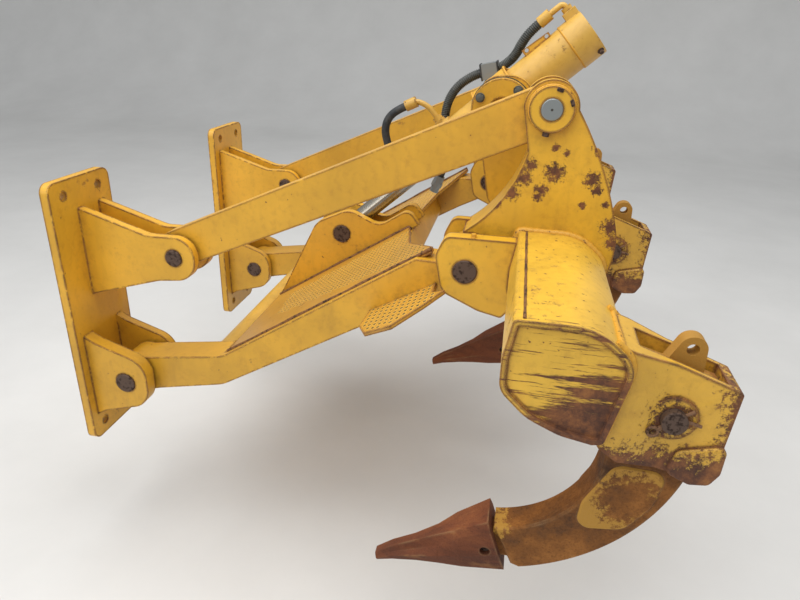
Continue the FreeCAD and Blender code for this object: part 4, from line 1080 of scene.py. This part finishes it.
# Welds round the beam's skin: y, first and last angle, and radius as a share of the usual
BEAM_WELDS = ([(sign * (TOWER_OUT + 0.002), 164, 2, 1.5) for _, sign in SIDES]
              + [(sign * (TOWER_IN - 0.002), 164, 2, 1.2) for _, sign in SIDES]
              + [(y0 + sign * (POCKET_FACE + 0.001), 48, -55, 1.15) for _, y0 in POCKETS
                 for _, sign in SIDES]
              + [(sign * y, 175, 60, 1.0) for _, sign in SIDES
                 for y in (SUPPORT_IN - 0.001, SUPPORT_OUT + 0.001)])
POCKET_TOP = 0.344          # height at which a pocket's foot ends on the beam
BEHIND = 1.8                # x behind the beam, from which lines go forward
SEAM_BACK = 0.034           # of the rolled beam's seam, from its front
SEAM_END = BEAM_END - 0.011
THIN_WELD = 0.004
SEAM_WELD = 0.003
DECK_RUN = (0.47, 1.10)     # first and last x of the welds along a deck
DECK_WELDS = (0.5375, 0.0715)                   # y of those, just inside both edges of a deck
BAND_HALF = 0.0625          # half width and thickness of the band that carries the trunnion
BAND_THICK = 0.016
# Welds round the barrel: place along it from the trunnion, and radius
BARREL_WELDS = ((-BAND_HALF, BARREL_R + BAND_THICK), (BAND_HALF, BARREL_R + BAND_THICK),
                (BARREL_BACK - HEAD_LENGTH, BARREL_R))


class RIPPER_OT_welds(bpy.types.Operator):
    """Fillet welds where plates meet the beam, the arms, the decks and the barrel"""
    bl_idname = "ripper.welds"
    bl_label = "Welds"

    def execute(self, context):
        usual = sizes().weld
        self.on_beam(usual)
        ends = [circle(TUBE + sign * (TUBE_END - SUNK) * ACROSS, ACROSS, TUBE_R) for _, sign in SIDES]
        ends = join([bead(end, usual * 0.8) for end in ends])
        piece("Welds_on_cross_tube", ends, "weld", BODY_OF["frame_cross_tube"], 60)
        lines = [down_on("deck_plate_" + side, [(x, sign * y) for x in np.linspace(*DECK_RUN, 90)])
                 for side, sign in SIDES for y in DECK_WELDS]
        lines = join([bead(line, usual * 0.85) for line in lines])
        piece("Welds_along_decks", lines, "bead", "lower_frame", 60)
        rounds = [circle(TRUNNION + along * CYLINDER_WAY, CYLINDER_WAY, radius - SUNK)
                  for along, radius in BARREL_WELDS]
        rounds = join([bead(path, THIN_WELD, CYLINDER_WAY) for path in rounds])
        piece("Welds_on_barrel", rounds, "weld", "cylinder_barrel", 60)
        return {"FINISHED"}

    def on_beam(self, usual):
        """Round the towers, pockets and supports, over each pocket, round the collars, and the seam."""
        beads = [bead(around_node("beam", BEAM_CENTRE, y, first, last), usual * share)
                 for y, first, last, share in BEAM_WELDS]
        for _, y0 in POCKETS:
            hits = [press("beam", (BEHIND, y0 + t, POCKET_TOP), (-1, 0, 0))
                    for t in np.linspace(-POCKET_FACE, POCKET_FACE, 12)]
            beads.append(bead([hit[0] for hit in hits if hit], usual, (0, 0, 1)))
        for _, sign in SIDES:
            collar = circle(UPPER_REAR + sign * (TOWER_OUT + SUNK) * ACROSS, ACROSS, COLLAR_R)
            beads.append(bead(collar, THIN_WELD))
        seam = down_on("beam", [(BEAM_FRONT + SEAM_BACK, y) for y in np.linspace(-SEAM_END, SEAM_END, 200)])
        seam = bead(seam, SEAM_WELD, (1, 0, 0))
        piece("Beam_seam", seam, "bead", BODY_OF["beam"], 60)
        piece("Welds_on_beam", join(beads), "weld", BODY_OF["beam"], 60)


# Treads

# Corners of the treads, x and y in metres, on the left deck and on the step
DECK_TREAD = ((0.962, -0.122), (0.544, -0.166), (0.580, -0.383), (1.089, -0.532))
STEP_TREAD = ((1.148, -0.578), (0.942, -0.578), (0.942, -0.748), (1.148, -0.748))
# Profiles of a dimple's rim, and of the dark disc of painted shade for the hole in it: height and radius
DIMPLE = ((0.0, 0.0071), (0.0006, 0.0067), (0.0008, 0.0061), (0.0006, 0.0055), (0.0001, 0.0052))
HOLE_SHADE = ((0.0001, 0.0052), (0.0004, 0.0052))
ROW_STEP = 0.87             # from row to row, as a share of the spacing
ROWS = 40                   # on either side of the tread's middle, more than any tread holds
CLEAR = 0.008               # how far round a dimple the plate has to be flat, and how flat
FLAT = 0.0005


def inside(spots, outline):
    """Which of the spots lie inside a polygon that bulges everywhere, by the side of each edge."""
    a = np.asarray(outline, float)
    b = np.roll(a, -1, 0)
    turn = ((b - a)[None, :, 0] * (spots[:, None, 1] - a[None, :, 1])
            - (b - a)[None, :, 1] * (spots[:, None, 0] - a[None, :, 0]))
    return np.all(turn > 0, 1) | np.all(turn < 0, 1)


def dimple_places(node, outline, sign, spacing):
    """Places and normal of dimples on a node's top: rows over the outline, every other one set over by
    half of the spacing, where the place and its four neighbours lie in one plane."""
    area = np.array(outline) * (1, -sign)
    centre, normal = press(node, (*area.mean(0), HIGH), DOWN)
    across = unit(np.cross(normal, (1, 0, 0)))
    along = np.cross(across, normal)
    i, j = np.meshgrid(np.arange(-ROWS, ROWS + 1), np.arange(-ROWS, ROWS + 1), indexing="ij")
    u = (i + 0.5 * (j % 2)).ravel()[:, None] * spacing
    v = j.ravel()[:, None] * spacing * ROW_STEP
    spots = centre + u * across + v * along
    spots = spots[inside(spots[:, :2], area)]
    kept = []
    for spot in spots:
        found = [press(node, spot + a * across + b * along + 0.3 * normal, -normal)
                 for a, b in ((0, 0), (CLEAR, 0), (-CLEAR, 0), (0, CLEAR), (0, -CLEAR))]
        if all(one and abs((one[0] - centre) @ normal) < FLAT for one in found):
            kept.append(found[0][0])
    return np.array(kept), normal


def stamped(profile, places, normal, around):
    """One small turned shape at each place, its axis along the normal."""
    points, faces = lathe(profile, (0, 0, 0), normal, around)
    count = len(points)
    everywhere = (points[None] + places[:, None]).reshape(-1, 3)
    return everywhere, [[i + k * count for i in face] for k in range(len(places)) for face in faces]


class RIPPER_OT_treads(bpy.types.Operator):
    """Pressed dimples on both decks and the step, each with a dark disc of painted shade for its hole"""
    bl_idname = "ripper.treads"
    bl_label = "Treads"

    def execute(self, context):
        treads = [("deck_plate_" + side, DECK_TREAD, sign) for side, sign in SIDES]
        treads.append(("arm_step", STEP_TREAD, -1))
        rims = []
        hole_shades = []
        for node, outline, sign in treads:
            places, normal = dimple_places(node, outline, sign, sizes().tread)
            rims.append(stamped(DIMPLE, places, normal, 10))
            # A flat dark disc of painted shade stands in each dimple's hole
            hole_shades.append(stamped(HOLE_SHADE, places, normal, 8))
        piece("Tread_dimples", join(rims), "dimple", "lower_frame")
        piece("Painted_shade_of_tread_holes", join(hole_shades), "dark", "lower_frame")
        return {"FINISHED"}


STEPS = (RIPPER_OT_stage, RIPPER_OT_hoses, RIPPER_OT_plates, RIPPER_OT_castings, RIPPER_OT_shanks,
         RIPPER_OT_cylinder, RIPPER_OT_pins, RIPPER_OT_bolts, RIPPER_OT_cotters, RIPPER_OT_welds,
         RIPPER_OT_treads)


class RIPPER_PT_panel(bpy.types.Panel):
    """Lists the sizes, the colours and the steps in the sidebar"""
    bl_idname = "RIPPER_PT_panel"
    bl_label = "Ripper"
    bl_space_type = "VIEW_3D"
    bl_region_type = "UI"
    bl_category = "Ripper"

    def draw(self, context):
        for group in (sizes(), colours()):
            for name in type(group).__annotations__:
                self.layout.prop(group, name)
        for step in STEPS:
            self.layout.operator(step.bl_idname)


CLASSES = (RipperSizes, RipperColours) + STEPS + (RIPPER_PT_panel,)


def register():
    for one in CLASSES:
        bpy.utils.register_class(one)
    bpy.types.Scene.ripper_sizes = PointerProperty(type=RipperSizes)
    bpy.types.Scene.ripper_colours = PointerProperty(type=RipperColours)


def unregister():
    del bpy.types.Scene.ripper_colours
    del bpy.types.Scene.ripper_sizes
    for one in reversed(CLASSES):
        bpy.utils.unregister_class(one)


def main():
    register()
    for step in STEPS:
        group, name = step.bl_idname.split(".")
        getattr(getattr(bpy.ops, group), name)()


if __name__ == "__main__":
    main()
